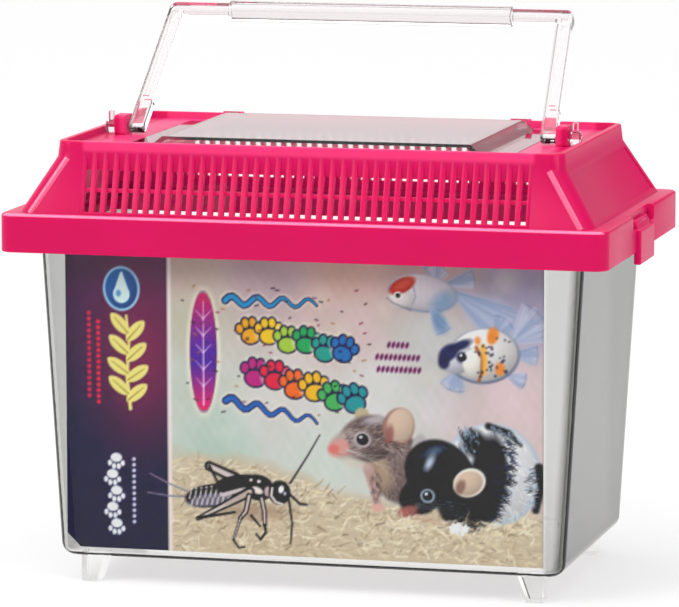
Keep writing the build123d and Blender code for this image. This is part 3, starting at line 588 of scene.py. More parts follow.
bed_line = np.interp(CANVAS_X, (-42, -12, 0, 20, 70), (40.5, 38.0, 34.0, 28.0, 27.0)) + 1.2 * cloud(9.0, 5)
bed_cover = np.clip((bed_line - CANVAS_Z) / 3.5 + 0.5, 0.0, 1.0)
bed_depth = np.clip((bed_line - CANVAS_Z) / 25.0, 0.0, 1.0)[..., None]
bed = np.array((0.76, 0.71, 0.62)) + bed_depth * np.array((0.0, -0.01, -0.03))
ink += bed_cover[..., None] * (bed - ink)
SHAVINGS = (
    (0.88, 0.84, 0.74), (0.83, 0.77, 0.65), (0.92, 0.90, 0.83), (0.65, 0.57, 0.45), (0.50, 0.42, 0.34)
)


def shaving(x, z, size):
    """One short curl of wood."""
    lie = chance.gauss(0.15, 0.7)
    bend = chance.uniform(-0.5, 0.5)
    middle = (x + size * math.cos(lie), z + size * math.sin(lie))
    tip = (middle[0] + size * math.cos(lie + bend), middle[1] + size * math.sin(lie + bend))
    colour = chance.choices(SHAVINGS, weights=(4, 4, 3, 3, 1))[0]
    stroke([(x, z), middle, tip], chance.uniform(0.3, 0.7), colour, end=0.5, cover=chance.uniform(0.35, 0.8))


for _ in range(1900):
    curl_x, curl_z = chance.uniform(-42, 69), chance.uniform(11.5, 40)
    if curl_z < np.interp(curl_x, (-42, -12, 0, 20, 70), (39.0, 36.5, 32.5, 27.0, 26.0)):
        shaving(curl_x, curl_z, chance.uniform(0.7, 1.8))

BAND_EDGE = -42.0
band_mix = np.clip((CANVAS_Z - 12.0) / 85.0, 0.0, 1.0)[..., None]
band = np.array((0.11, 0.08, 0.27)) + band_mix * np.array((0.21, 0.12, 0.05))
plum = np.exp(-((CANVAS_X + 50.0) / 14.0) ** 2 - ((CANVAS_Z - 66.0) / 26.0) ** 2)[..., None]
band = band + plum * np.array((0.22, 0.02, 0.02)) + (0.010 * cloud(7.0, 6))[..., None]
lay((slice(None), slice(None)), np.clip((BAND_EDGE - CANVAS_X) / 0.4, 0.0, 1.0), band)
stroke([(BAND_EDGE + 0.5, CARD_FOOT), (BAND_EDGE + 0.5, CARD_HEAD)], 1.0, (0.88, 0.84, 0.84))
print("ground painted")

# %% [markdown]
# ### Band ornaments and paw prints
#
# Where a pack like this carries lettering, this one has plain ornaments: a water drop, a sprig of
# yellow leaves, two lines of red dots and white paw prints in the band, and rainbow paw prints
# beside a tall striped leaf.

# %% Ornament brushes
def paw(x, z, size, colour, outline=None, turn=0.0):
    """A paw print: one broad pad and four toes, with an outline when one is given."""
    c, s = math.cos(math.radians(turn)), math.sin(math.radians(turn))
    pads = ((0.0, -0.18, 0.40, 0.32), (-0.46, 0.20, 0.15, 0.20), (-0.17, 0.42, 0.15, 0.21),
            (0.17, 0.42, 0.15, 0.21), (0.46, 0.20, 0.15, 0.20))
    for grown, tint in ((0.55, outline), (0.0, colour)):
        if tint is None:
            continue
        for px, pz, rx, rz in pads:
            at_x, at_z = x + size * (px * c - pz * s), z + size * (px * s + pz * c)
            oval(at_x, at_z, size * rx + grown, size * rz + grown, tint, turn=turn, soft=0.4)


def leaf(x, z, length, breadth, turn, colour, vein):
    """A pointed leaf with a middle vein, growing from (x, z)."""
    lie = math.radians(turn)
    steps = [i / 8.0 for i in range(9)]
    for start, stop in zip(steps, steps[1:]):
        a = (x + length * start * math.cos(lie), z + length * start * math.sin(lie))
        b = (x + length * stop * math.cos(lie), z + length * stop * math.sin(lie))
        wide = breadth * math.sin(math.pi * (start + stop) / 2.0) ** 0.8 + 0.2
        stroke([a, b], wide, colour)
    tip = (x + 0.85 * length * math.cos(lie), z + 0.85 * length * math.sin(lie))
    stroke([(x, z), tip], 0.45, vein, end=0.4)


print("ornament brushes:", paw.__name__, leaf.__name__)

# %% Band ornaments
oval(-56.0, 88.0, 5.6, 6.6, (0.62, 0.78, 0.90), soft=0.5)
oval(-56.0, 88.0, 4.9, 5.9, (0.05, 0.36, 0.60), soft=0.5, shade=0.2)
stroke([(-56.0, 92.6), (-56.0, 87.0)], 0.8, (0.80, 0.90, 0.96), end=6.0)
oval(-56.0, 86.2, 2.5, 2.5, (0.80, 0.90, 0.96))
oval(-56.9, 86.6, 0.8, 1.0, (0.05, 0.36, 0.60), cover=0.6)

YELLOW, YELLOW_SHADE = (0.88, 0.84, 0.50), (0.62, 0.55, 0.24)
stroke([(-53.5, 52.5), (-54.5, 62.0), (-53.8, 72.0), (-54.6, 80.0)], 1.1, YELLOW, end=0.7)
SPRIG = ((55, 40), (57, 140), (61, 35), (63, 145), (67, 42), (69, 138), (73, 48), (75, 132))
for sprig_z, sprig_turn in SPRIG:
    leaf(-54.2, sprig_z, 7.0, 3.4, sprig_turn, YELLOW, YELLOW_SHADE)
for dot in range(15):
    oval(-66.0, 80.5 - 1.75 * dot, 0.62, 0.62, (0.80, 0.20, 0.32), soft=0.5)
    oval(-63.2, 78.0 - 1.70 * dot, 0.62, 0.62, (0.86, 0.16, 0.28), soft=0.5)
for step in range(5):
    paw(-58.6 + 0.6 * (-1) ** step, 37.0 - 4.9 * step, 4.3, (0.88, 0.93, 0.96), turn=180)
for dot in range(12):
    oval(-52.6, 37.5 - 1.7 * dot, 0.55, 0.55, (0.80, 0.82, 0.88), soft=0.5)
print("band ornaments painted")

# %% Leaf, ripples and paw prints
DARK_EDGE, PALE_GLOW = (0.12, 0.13, 0.28), (0.90, 0.88, 0.80)
RAINBOW = ((0.86, 0.62, 0.16), (0.93, 0.74, 0.18), (0.62, 0.76, 0.28), (0.20, 0.62, 0.36), (0.10, 0.58, 0.52),
           (0.12, 0.42, 0.68))
SUNSET = ((0.70, 0.16, 0.48), (0.84, 0.18, 0.30), (0.92, 0.42, 0.20), (0.92, 0.70, 0.20), (0.30, 0.66, 0.36),
          (0.06, 0.56, 0.58))
oval(-31.2, 70.2, 5.1, 18.6, PALE_GLOW, soft=1.2, cover=0.8)
oval(-31.2, 70.2, 4.1, 17.6, (0.36, 0.10, 0.30))
for band_step in range(34):
    share = band_step / 33.0
    height = 86.8 - 33.2 * share
    half = 3.4 * math.sqrt(max(0.02, 1.0 - ((height - 70.2) / 17.1) ** 2))
    tint = np.interp(share, (0.0, 0.45, 0.6, 1.0), (0.78, 0.36, 0.30, 0.88)), \
        np.interp(share, (0.0, 0.45, 0.6, 1.0), (0.16, 0.20, 0.16, 0.14)), \
        np.interp(share, (0.0, 0.45, 0.6, 1.0), (0.40, 0.62, 0.62, 0.42))
    stroke([(-31.2 - half, height), (-31.2 + half, height)], 1.1, tint, soft=0.5)
for rib in range(5):
    rib_z = 60.0 + 5.0 * rib
    stroke([(-31.2, rib_z), (-28.9, rib_z + 2.4)], 0.5, (0.92, 0.80, 0.90), end=0.3, cover=0.7)
    stroke([(-31.2, rib_z), (-33.5, rib_z + 2.4)], 0.5, (0.92, 0.80, 0.90), end=0.3, cover=0.7)
stroke([(-31.2, 54.5), (-31.2, 85.0)], 0.6, (0.92, 0.80, 0.90), end=0.4, cover=0.8)
for wave_row, (wave_z, wave_tint) in enumerate(((56.0, (0.16, 0.40, 0.72)), (85.6, (0.08, 0.56, 0.78)))):
    slant = 0.20 * (1 - wave_row)
    ripple = [(-24.5 + 1.1 * i, wave_z - slant * i + 1.3 * math.sin(0.9 * i)) for i in range(26)]
    stroke(ripple, 3.4, PALE_GLOW, end=0.5, soft=1.2, cover=0.7)
    stroke(ripple, 2.4, DARK_EDGE, end=0.4)
    stroke(ripple, 1.5, wave_tint, end=0.3)
for place, tint in enumerate(RAINBOW):
    paw_x, paw_z = -17.0 + 5.6 * place, 76.5 - 1.1 * place + 1.2 * (place % 2)
    oval(paw_x, paw_z + 0.6, 4.2, 4.6, PALE_GLOW, soft=1.4, cover=0.7)
    paw(paw_x, paw_z, 6.6, tint, outline=DARK_EDGE, turn=8 - 5 * place)
for place, tint in enumerate(SUNSET):
    paw_x, paw_z = -15.5 + 5.9 * place, 64.2 - 1.5 * place + 1.0 * (place % 2)
    oval(paw_x, paw_z + 0.6, 4.4, 4.8, PALE_GLOW, soft=1.4, cover=0.7)
    paw(paw_x, paw_z, 7.2, tint, outline=DARK_EDGE, turn=-6 + 5 * place)
for _ in range(70):
    fleck_x, fleck_z = chance.uniform(-40, 20), chance.uniform(50, 90)
    stroke([(fleck_x, fleck_z), (fleck_x + chance.uniform(0.3, 1.0), fleck_z + chance.uniform(-0.4, 0.4))],
           0.45, chance.choice(((0.15, 0.12, 0.15), (0.50, 0.16, 0.26), (0.62, 0.40, 0.22))), cover=0.8)
for row, (row_start, beads) in enumerate(((24.5, 5), (21.0, 10), (21.4, 10))):
    for bead in range(beads):
        oval(row_start + 1.35 * bead, 74.3 - 3.6 * row, 0.5, 0.95, (0.42, 0.12, 0.34), turn=-20, soft=0.45)
print("ornaments painted")

# %% [markdown]
# ### Fish
#
# Each fish is built from ovals for its body and gills and thin strokes for the rays in its fins.

# %% Fins
FIN, FIN_DARK, FIN_PALE = (0.60, 0.65, 0.77), (0.38, 0.48, 0.64), (0.80, 0.80, 0.86)


def fan(x, z, length, turn, spread, count, width=0.9):
    """A fin of rays that spread from one point, with a darker trailing edge."""
    for fold in range(7):
        lie = math.radians(turn + spread * (fold / 7.0 - 0.43))
        for share in (0.35, 0.55, 0.75):
            at_x, at_z = x + share * length * math.cos(lie), z + share * length * math.sin(lie)
            oval(at_x, at_z, 0.24 * length, 0.16 * length * share + 0.4, (0.66, 0.69, 0.79),
                 turn=math.degrees(lie), soft=1.2, cover=0.30)
    for ray in range(count):
        lie = math.radians(turn + spread * (ray / (count - 1.0) - 0.5))
        reach = length * (0.86 + 0.14 * math.sin(2.3 * ray))
        tip = (x + reach * math.cos(lie), z + reach * math.sin(lie))
        shade = chance.choice((FIN, FIN_PALE, FIN))
        stroke([(x, z), tip], width * 0.6, shade, end=2.6, soft=0.9, cover=0.55)
        stroke([(x, z), tip], 0.3, FIN_DARK, end=0.9, cover=0.35)
    edge = [(x + length * math.cos(math.radians(turn + spread * (i / 6.0 - 0.5))),
             z + length * math.sin(math.radians(turn + spread * (i / 6.0 - 0.5)))) for i in range(7)]
    stroke(edge, 0.35, FIN_DARK, soft=0.6, cover=0.5)


print("fin brush:", fan.__name__)

# %% Red-capped fish
fan(42.5, 91.0, 22.0, -32, 34, 16)
fan(41.0, 92.5, 9.0, 12, 30, 7)
fan(38.0, 93.0, 5.0, 80, 90, 7)
oval(34.6, 89.6, 10.2, 5.5, (0.50, 0.54, 0.64), turn=-6, soft=0.7)
oval(34.6, 89.9, 9.8, 5.2, (0.84, 0.81, 0.84), turn=-6, soft=0.9, shade=0.25)
oval(40.5, 87.6, 3.6, 2.4, (0.42, 0.57, 0.72), soft=2.6, cover=0.75, turn=30)
oval(28.0, 88.0, 3.6, 3.0, (0.86, 0.84, 0.84), soft=1.0, shade=0.2)
for scale_row in range(5):
    for scale_step in range(5):
        oval(32.0 + 1.9 * scale_step, 87.0 + 1.6 * scale_row + 0.3 * scale_step, 0.9, 0.8, (0.72, 0.70, 0.76),
             soft=0.9, cover=0.25)
oval(28.4, 91.7, 4.2, 2.1, (0.72, 0.20, 0.16), turn=28, soft=0.6)
oval(28.9, 92.2, 3.2, 1.2, (0.84, 0.34, 0.26), turn=28, soft=1.2, cover=0.8)
oval(27.2, 88.8, 1.3, 1.1, (0.90, 0.88, 0.86), soft=0.4)
oval(27.2, 88.8, 0.75, 0.7, (0.16, 0.14, 0.16), soft=0.35)
stroke([(24.0, 88.0), (25.6, 86.6), (31.0, 84.6)], 0.4, (0.36, 0.34, 0.40), cover=0.7)
stroke([(31.8, 91.8), (32.4, 88.6), (31.4, 86.0)], 0.45, (0.56, 0.55, 0.62), cover=0.7)
fan(37.0, 85.6, 8.0, -62, 30, 7, width=1.0)
oval(39.6, 81.6, 1.8, 3.4, (0.34, 0.48, 0.62), turn=22, soft=1.6, cover=0.6)
print("red-capped fish painted")

# %% Spotted fish
fan(60.0, 76.0, 12.5, 38, 62, 13)
fan(60.5, 73.0, 8.0, -2, 36, 7)
fan(45.0, 67.5, 6.2, -108, 70, 8)
fan(59.5, 66.8, 5.6, -18, 44, 6)
fan(56.0, 78.5, 5.5, 55, 70, 8)
oval(52.6, 72.0, 10.6, 8.1, (0.36, 0.40, 0.52), turn=8, soft=0.7)
oval(52.6, 72.3, 10.2, 7.7, (0.87, 0.86, 0.86), turn=8, soft=0.9, shade=0.28)
oval(44.6, 71.2, 5.2, 4.6, (0.80, 0.80, 0.84), turn=25, soft=0.8, shade=0.3)
for blot_x, blot_z, blot_rx, blot_rz, blot_turn in ((42.2, 72.6, 3.4, 2.2, 40), (45.8, 74.9, 3.4, 1.3, 25),
                                                    (40.8, 69.8, 1.7, 2.0, 0), (46.2, 71.4, 1.7, 1.6, 0)):
    oval(blot_x, blot_z, blot_rx, blot_rz, (0.14, 0.15, 0.30), turn=blot_turn, soft=0.9, cover=0.9)
oval(49.3, 69.8, 3.0, 3.9, (0.90, 0.89, 0.86), turn=5, soft=0.6, shade=0.2)
stroke([(50.4, 74.4), (52.2, 71.4), (52.0, 67.0), (51.2, 64.8)], 1.0, (0.62, 0.34, 0.16), end=0.8, soft=0.8)
stroke([(52.4, 74.5), (53.0, 70.5), (52.8, 67.0)], 1.9, (0.92, 0.66, 0.28), end=0.7, soft=0.9, cover=0.9)
for blot_x, blot_z, blot_r in ((55.4, 78.3, 1.7), (57.4, 68.4, 1.5), (54.8, 77.0, 1.2), (50.8, 76.4, 0.9)):
    oval(blot_x, blot_z, blot_r, blot_r * 1.3, (0.90, 0.52, 0.22), soft=0.9, cover=0.9)
for _ in range(34):
    speck = [chance.uniform(*span) for span in ((50, 61), (66, 78.5), (0.25, 0.5), (0.25, 0.5))]
    oval(*speck, (0.16, 0.17, 0.26), soft=0.45, cover=0.75)
oval(46.3, 71.5, 1.25, 1.25, (0.10, 0.11, 0.18), soft=0.4)
oval(45.9, 72.0, 0.4, 0.4, (0.92, 0.93, 0.96), soft=0.4)
print("spotted fish painted")

# %% [markdown]
# ### Cricket
#
# The cricket is drawn in ink-like strokes: a dark back, a banded belly, bent legs with pale middles
# and two long feelers at each end.

# %% Cricket
INK, INK_MID, INK_PALE = (0.07, 0.07, 0.10), (0.40, 0.39, 0.46), (0.86, 0.83, 0.82)


def limb(points, width, pale=True, end=0.7):
    """A dark leg with a pale line along its middle."""
    stroke(points, width, INK, end=end)
    if pale:
        stroke(points, width * 0.45, (0.80, 0.75, 0.73), end=end)


for hair in (((-36.5, 28.6), (-42.0, 30.7), (-47.6, 33.4)), ((-36.9, 26.9), (-42.0, 27.0), (-48.5, 27.8))):
    stroke(hair, 0.6, (0.52, 0.50, 0.56), end=0.6)
oval(-16.0, 23.5, 11.0, 2.2, (0.50, 0.36, 0.30), soft=2.4, cover=0.4)
limb([(-29.6, 36.4), (-21.5, 33.0)], 3.0, end=1.2)
limb([(-29.6, 36.4), (-27.0, 31.5)], 0.9, pale=False)
oval(-29.0, 27.6, 8.0, 3.4, INK, turn=9, soft=0.5)
oval(-29.0, 26.4, 7.0, 2.0, INK_MID, turn=8, soft=0.9)
for ring in range(9):
    ring_x = -35.2 + 1.55 * ring
    stroke([(ring_x, 28.6 + 0.20 * ring), (ring_x - 0.5, 26.6 + 0.16 * ring)], 0.45, INK_PALE, cover=0.9)
    lower_ring = [(ring_x + 0.5, 26.2 + 0.16 * ring), (ring_x + 0.1, 24.6 + 0.14 * ring)]
    stroke(lower_ring, 0.5, INK_PALE, cover=0.85)
    oval(ring_x, 29.3 + 0.24 * ring, 0.35, 0.35, INK_PALE, soft=0.4, cover=0.8)
oval(-19.5, 31.3, 8.4, 3.0, INK, turn=6, soft=0.5)
oval(-14.8, 30.6, 4.6, 3.8, INK, turn=-8, soft=0.5)
stroke([(-25.5, 28.0), (-20.0, 29.8), (-17.2, 30.2)], 1.3, (0.78, 0.74, 0.75), end=0.6)
oval(-15.2, 29.8, 1.9, 1.0, (0.88, 0.84, 0.82), turn=-20, soft=0.5)
oval(-12.0, 29.6, 1.0, 1.5, (0.74, 0.66, 0.66), soft=0.5)
oval(-14.6, 32.5, 0.6, 0.5, INK_PALE, soft=0.4)
oval(-17.0, 32.8, 0.5, 0.4, INK_PALE, soft=0.4)
oval(-8.4, 29.4, 3.3, 3.6, INK, turn=-15, soft=0.5)
stroke([(-10.6, 30.6), (-10.9, 28.4), (-9.6, 26.6), (-7.6, 26.0)], 0.7, INK_PALE)
oval(-7.9, 30.4, 0.8, 1.2, (0.90, 0.90, 0.92), turn=-15, soft=0.4)
oval(-6.8, 29.2, 0.5, 0.5, (0.70, 0.70, 0.76), soft=0.4)
limb([(-17.4, 29.2), (-24.6, 25.2), (-33.2, 20.6)], 3.2, end=0.4)
stroke([(-18.0, 28.8), (-24.6, 25.2)], 1.5, (0.72, 0.66, 0.62), end=0.7)
limb([(-33.2, 20.9), (-27.5, 21.9), (-22.0, 23.0)], 0.9, pale=False)
limb([(-17.6, 28.0), (-18.6, 23.4), (-20.4, 21.2)], 1.8)
limb([(-20.2, 21.6), (-22.4, 14.8)], 1.0)
limb([(-22.4, 14.8), (-20.8, 12.5), (-19.0, 12.8)], 0.6, pale=False)
limb([(-17.0, 22.2), (-14.3, 19.2)], 0.8, pale=False)
limb([(-13.8, 27.4), (-13.0, 23.5), (-12.9, 19.6)], 1.7)
limb([(-12.9, 19.6), (-12.6, 17.4), (-14.2, 15.2), (-15.5, 16.8)], 0.8, pale=False)
stroke([(-5.2, 32.3), (0.2, 40.8), (3.8, 47.0)], 0.6, (0.18, 0.16, 0.20), end=0.6)
stroke([(-5.6, 27.6), (-4.6, 20.5), (-5.1, 14.4)], 0.7, (0.10, 0.09, 0.12), end=0.6)
stroke([(-5.2, 28.9), (-2.2, 26.3), (-0.2, 26.2)], 0.8, INK, end=0.8)
print("cricket painted")

# %% [markdown]
# ### Mice
#
# Broad shaded ovals give each mouse its form, and short hairs laid along the body break up the
# edges. The second mouse is black and white, so its hairs are laid in two tones where the patches
# meet.

# %% Brown mouse
BROWN, BROWN_DARK, BROWN_PALE = (0.47, 0.41, 0.40), (0.30, 0.25, 0.26), (0.66, 0.60, 0.57)
EAR, EAR_SHADE = (0.80, 0.71, 0.63), (0.62, 0.45, 0.41)
oval(16.4, 53.4, 2.2, 2.2, (0.72, 0.66, 0.54), soft=0.8)
oval(27.0, 38.6, 8.6, 11.0, BROWN, turn=18, soft=1.2, shade=0.2)
fur(27.0, 38.6, 8.2, 10.6, (BROWN_DARK, BROWN_PALE, BROWN), 420, 1.6, -75, turn=18, cover=0.45)
oval(21.5, 37.0, 3.4, 6.0, (0.70, 0.60, 0.50), turn=24, soft=2.2, cover=0.7)
stroke([(18.2, 38.0), (20.4, 31.0), (21.0, 26.6)], 3.2, (0.70, 0.58, 0.55), end=0.7, soft=0.9)
fur(20.4, 33.0, 1.6, 4.6, (BROWN_DARK, BROWN), 60, 1.4, -78, cover=0.5)
oval(21.2, 26.2, 2.0, 1.2, (0.82, 0.64, 0.60), soft=0.8)
oval(18.6, 46.6, 9.0, 6.8, BROWN, turn=14, soft=1.0, shade=0.3)
oval(12.4, 44.6, 5.4, 4.0, BROWN_PALE, turn=20, soft=1.6, shade=0.2)
fur(19.4, 46.8, 8.4, 6.2, (BROWN_DARK, BROWN_PALE, BROWN_DARK), 420, 1.5, 14, turn=14, cover=0.42)
oval(20.6, 52.2, 3.4, 1.2, (0.76, 0.74, 0.78), turn=12, soft=1.6, cover=0.7)
oval(9.4, 43.4, 3.3, 2.5, (0.80, 0.58, 0.55), turn=22, soft=1.2)
oval(8.0, 43.0, 1.6, 1.3, (0.82, 0.46, 0.42), turn=10, soft=0.8)
stroke([(9.0, 41.6), (11.6, 41.4), (13.8, 42.2)], 0.6, (0.74, 0.42, 0.40), end=0.6, cover=0.8)
oval(14.0, 39.4, 4.2, 1.6, (0.78, 0.74, 0.70), turn=-18, soft=1.5, cover=0.7)
oval(16.6, 46.2, 2.5, 2.4, (0.70, 0.66, 0.68), soft=0.7)
oval(16.6, 46.2, 1.8, 1.7, (0.10, 0.08, 0.09), soft=0.5)
oval(16.1, 46.9, 0.5, 0.4, (0.92, 0.92, 0.94), soft=0.35)
oval(27.4, 50.4, 4.7, 5.6, EAR_SHADE, turn=-14, soft=0.6)
oval(27.9, 50.8, 4.0, 5.1, EAR, turn=-14, soft=0.9, shade=0.16)
oval(24.6, 47.8, 1.3, 2.9, (0.56, 0.36, 0.34), turn=-8, soft=1.0, cover=0.85)
fur(26.0, 44.6, 3.6, 1.4, (BROWN_PALE, BROWN_DARK), 70, 1.8, -20, cover=0.6)
print("brown mouse painted")

# %% Black and white mouse: the white back
COAL, COAL_DEEP, COAL_LIT = (0.09, 0.09, 0.11), (0.05, 0.05, 0.06), (0.24, 0.26, 0.33)
SNOW, SNOW_SHADE = (0.86, 0.87, 0.88), (0.62, 0.70, 0.78)
oval(55.0, 37.4, 14.6, 15.0, SNOW_SHADE, turn=-12, soft=0.9)
oval(54.8, 37.6, 14.0, 14.5, SNOW, turn=-12, soft=1.6, shade=0.18)
fur(56.0, 37.0, 13.0, 13.8, (SNOW, (0.94, 0.94, 0.95), (0.76, 0.80, 0.85)), 420, 2.0, -62, cover=0.5)
stroke([(54.0, 51.6), (60.0, 50.0), (63.6, 46.4)], 2.0, COAL, end=0.4, soft=1.0)
fur(58.6, 50.0, 4.6, 1.1, (COAL, SNOW_SHADE), 60, 2.0, -50, turn=-22)
stroke([(69.0, 40.0), (69.5, 34.0), (68.0, 27.6)], 2.6, COAL, end=0.8, soft=1.0)
fur(67.6, 34.0, 1.4, 6.0, (COAL, SNOW_SHADE, SNOW), 90, 1.8, 190)
oval(53.8, 35.8, 5.4, 13.0, COAL, turn=-8, soft=1.6)
oval(49.8, 46.4, 3.6, 3.8, COAL, turn=20, soft=2.2)
fur(57.2, 36.2, 3.2, 12.0, (COAL, (0.16, 0.20, 0.30)), 220, 2.3, -25, turn=-10, cover=0.8)
fur(48.4, 46.6, 3.4, 3.4, (COAL, SNOW_SHADE), 90, 2.0, 120, cover=0.7)
print("white back painted")

# %% Black and white mouse: the black head
oval(33.4, 44.4, 2.2, 4.2, (0.70, 0.68, 0.68), turn=-12, soft=0.8)
oval(39.6, 37.0, 10.8, 9.6, COAL, turn=-38, soft=0.9)
oval(34.0, 30.4, 6.8, 5.4, (0.12, 0.12, 0.13), turn=34, soft=1.0)
oval(47.6, 28.0, 8.6, 7.6, COAL, turn=-6, soft=1.1)
fur(40.0, 36.4, 9.8, 8.8, (COAL_LIT, COAL_DEEP, (0.16, 0.16, 0.19)), 420, 1.8, -48, turn=-38, cover=0.45)
fur(47.0, 28.0, 8.0, 6.6, (COAL_LIT, COAL_DEEP), 220, 1.8, -30, cover=0.4)
oval(36.6, 40.2, 1.1, 2.4, (0.80, 0.86, 0.94), turn=-28, soft=1.4, cover=0.85)
oval(37.8, 43.6, 3.6, 1.3, (0.46, 0.56, 0.68), turn=24, soft=1.8, cover=0.55)
oval(36.0, 30.4, 2.2, 2.1, (0.55, 0.60, 0.66), soft=0.5)
oval(36.0, 30.4, 1.5, 1.45, (0.05, 0.06, 0.09), soft=0.4)
oval(35.6, 31.0, 0.5, 0.45, (0.85, 0.90, 0.95), soft=0.35)
oval(30.2, 25.6, 3.0, 1.7, (0.56, 0.36, 0.34), turn=18, soft=1.1)
oval(29.2, 25.2, 1.4, 1.0, (0.66, 0.38, 0.36), turn=10, soft=0.7)
stroke([(33.0, 24.2), (38.0, 23.2), (43.5, 22.4)], 1.5, (0.78, 0.66, 0.60), end=0.5, soft=1.0)
oval(48.4, 34.8, 5.0, 4.1, (0.92, 0.90, 0.87), turn=28, soft=0.6)
oval(48.2, 34.6, 4.4, 3.5, EAR, turn=28, soft=0.8, shade=0.2)
oval(45.8, 33.4, 1.3, 2.2, (0.50, 0.38, 0.34), turn=-22, soft=0.9, cover=0.85)
print("black head painted")

# %% Whiskers and the shavings in front
for whisker in range(4):
    stroke([(32.5, 26.8 + 0.4 * whisker), (40.0, 26.4 + 0.9 * whisker), (49.0, 23.8 + 1.5 * whisker)], 0.35,
           (0.52, 0.54, 0.58), end=0.4, cover=0.5)
    stroke([(12.0, 43.0), (18.0 + whisker, 41.6 - 0.8 * whisker), (25.0, 41.6 - 1.9 * whisker)], 0.3,
           (0.82, 0.80, 0.80), end=0.4, cover=0.4)
for _ in range(260):
    curl_x = chance.uniform(16, 69)
    shaving(curl_x, chance.uniform(19.0, 23.5) + max(0.0, curl_x - 60.0) * 0.35, chance.uniform(0.8, 1.8))
fur(45.5, 21.6, 2.8, 1.0, (SNOW, (0.95, 0.95, 0.95)), 60, 1.8, -100, width=0.6, cover=0.9)
print("whiskers and front shavings painted")

# %% [markdown]
# ### Print on the card
#
# The picture goes onto a fine grid that stands just in front of the card. The card's left edge
# slants, so the grid is trimmed along a slanted plane. The clear wall in front adds a pale glare
# and the lid shades the card, so the inks are printed deeper and lighter to allow for both.

# %% Printed face
CARD_LEAN = math.atan(0.010965)
WALL_GLARE, CARD_LIGHT = 0.03, 0.78
CARD_FACE = -43.90
CARD_MIDDLE = Vector(((CARD_LEFT + CARD_RIGHT) / 2.0, CARD_FACE, (CARD_FOOT + CARD_HEAD) / 2.0)) * MM
bpy.ops.object.select_all(action="DESELECT")
bpy.ops.mesh.primitive_grid_add(x_subdivisions=CARD_COLUMNS - 1, y_subdivisions=CARD_ROWS - 1, size=1.0)
card_print = bpy.context.object
card_print.name = "card_print"
places = np.empty(len(card_print.data.vertices) * 3)
card_print.data.vertices.foreach_get("co", places)
places = places.reshape(-1, 3)
columns = np.rint((places[:, 0] + 0.5) * (CARD_COLUMNS - 1)).astype(int)
rows = np.rint((places[:, 1] + 0.5) * (CARD_ROWS - 1)).astype(int)
picture = np.ones((len(places), 4))
printed = np.clip(ink[rows, columns], 0.0, 1.0) ** 2.2
picture[:, :3] = np.clip((printed - WALL_GLARE) / CARD_LIGHT, 0.0, 0.95)
layer = card_print.data.color_attributes.new(name="ink", type="FLOAT_COLOR", domain="POINT")
layer.data.foreach_set("color", picture.ravel())

bpy.ops.object.mode_set(mode="EDIT")
bpy.ops.mesh.select_all(action="SELECT")
bpy.ops.transform.resize(value=(MM * (CARD_RIGHT - CARD_LEFT), MM * (CARD_HEAD - CARD_FOOT), 1.0))
bpy.ops.transform.rotate(value=-(math.pi / 2 + CARD_LEAN), orient_axis="X", center_override=(0, 0, 0))
bpy.ops.transform.translate(value=CARD_MIDDLE)
bpy.ops.mesh.bisect(
    plane_co=(-69.2 * MM, 0, CARD_FOOT * MM), plane_no=(-90.3, 0, -3.9), clear_outer=True
)
bpy.ops.object.mode_set(mode="OBJECT")
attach(card_print, "tank")
print("printed face:", len(card_print.data.polygons), "faces")

# %% [markdown]
# ### Ink and paper
#
# The ink takes its colour from the painted layer. The card itself, whose plain back shows from
# behind, is an off-white board with faint fibres.

# %% Ink and card stock
def card_ink():
    """Print that takes its colour from the painted layer, on slightly uneven paper."""
    material, shader, nodes, links = start_material("card_ink")
    add_moulded_surface(nodes, links, shader, 1800.0, 0.000004, 0.00001, 0.5, 0.08)
    layer_colour = nodes.new("ShaderNodeAttribute")
    layer_colour.attribute_name = "ink"
    links.new(layer_colour.outputs["Color"], shader.inputs["Base Color"])
    shader.inputs["Specular IOR Level"].default_value = 0.05
    return material


def card_stock():
    """The plain back of the card: off-white paper with faint fibres."""
    material, shader, nodes, links = start_material("card_stock")
    surface = add_moulded_surface(nodes, links, shader, 1500.0, 0.00001, 0.00001, 0.7, 0.1)
    fibres = tint_mix(nodes, links, surface.outputs["Mottle"], (0.70, 0.69, 0.66), (0.80, 0.79, 0.77))
    links.new(fibres, shader.inputs["Base Color"])
    return material


card_print.data.materials.append(card_ink())
CARD_STOCK = card_stock()
print("card materials made")

# %% [markdown]
# ## Softened edges
#
# No moulded edge is truly sharp: each one carries a small radius that catches a thin line of light.
# The lid's pieces are copied, cleaned of the triangulation on their flat faces, and given a narrow
# bevel in the glossier pink, whose paler colour is a painted highlight.

# %% Softened lid pieces
MERGE_DISTANCE, FLAT_WITHIN = 0.000005, math.radians(1.0)
BEVEL_FROM, SMOOTH_BELOW = math.radians(28), math.radians(35)
EDGE_HIGHLIGHT_SLOT = 1


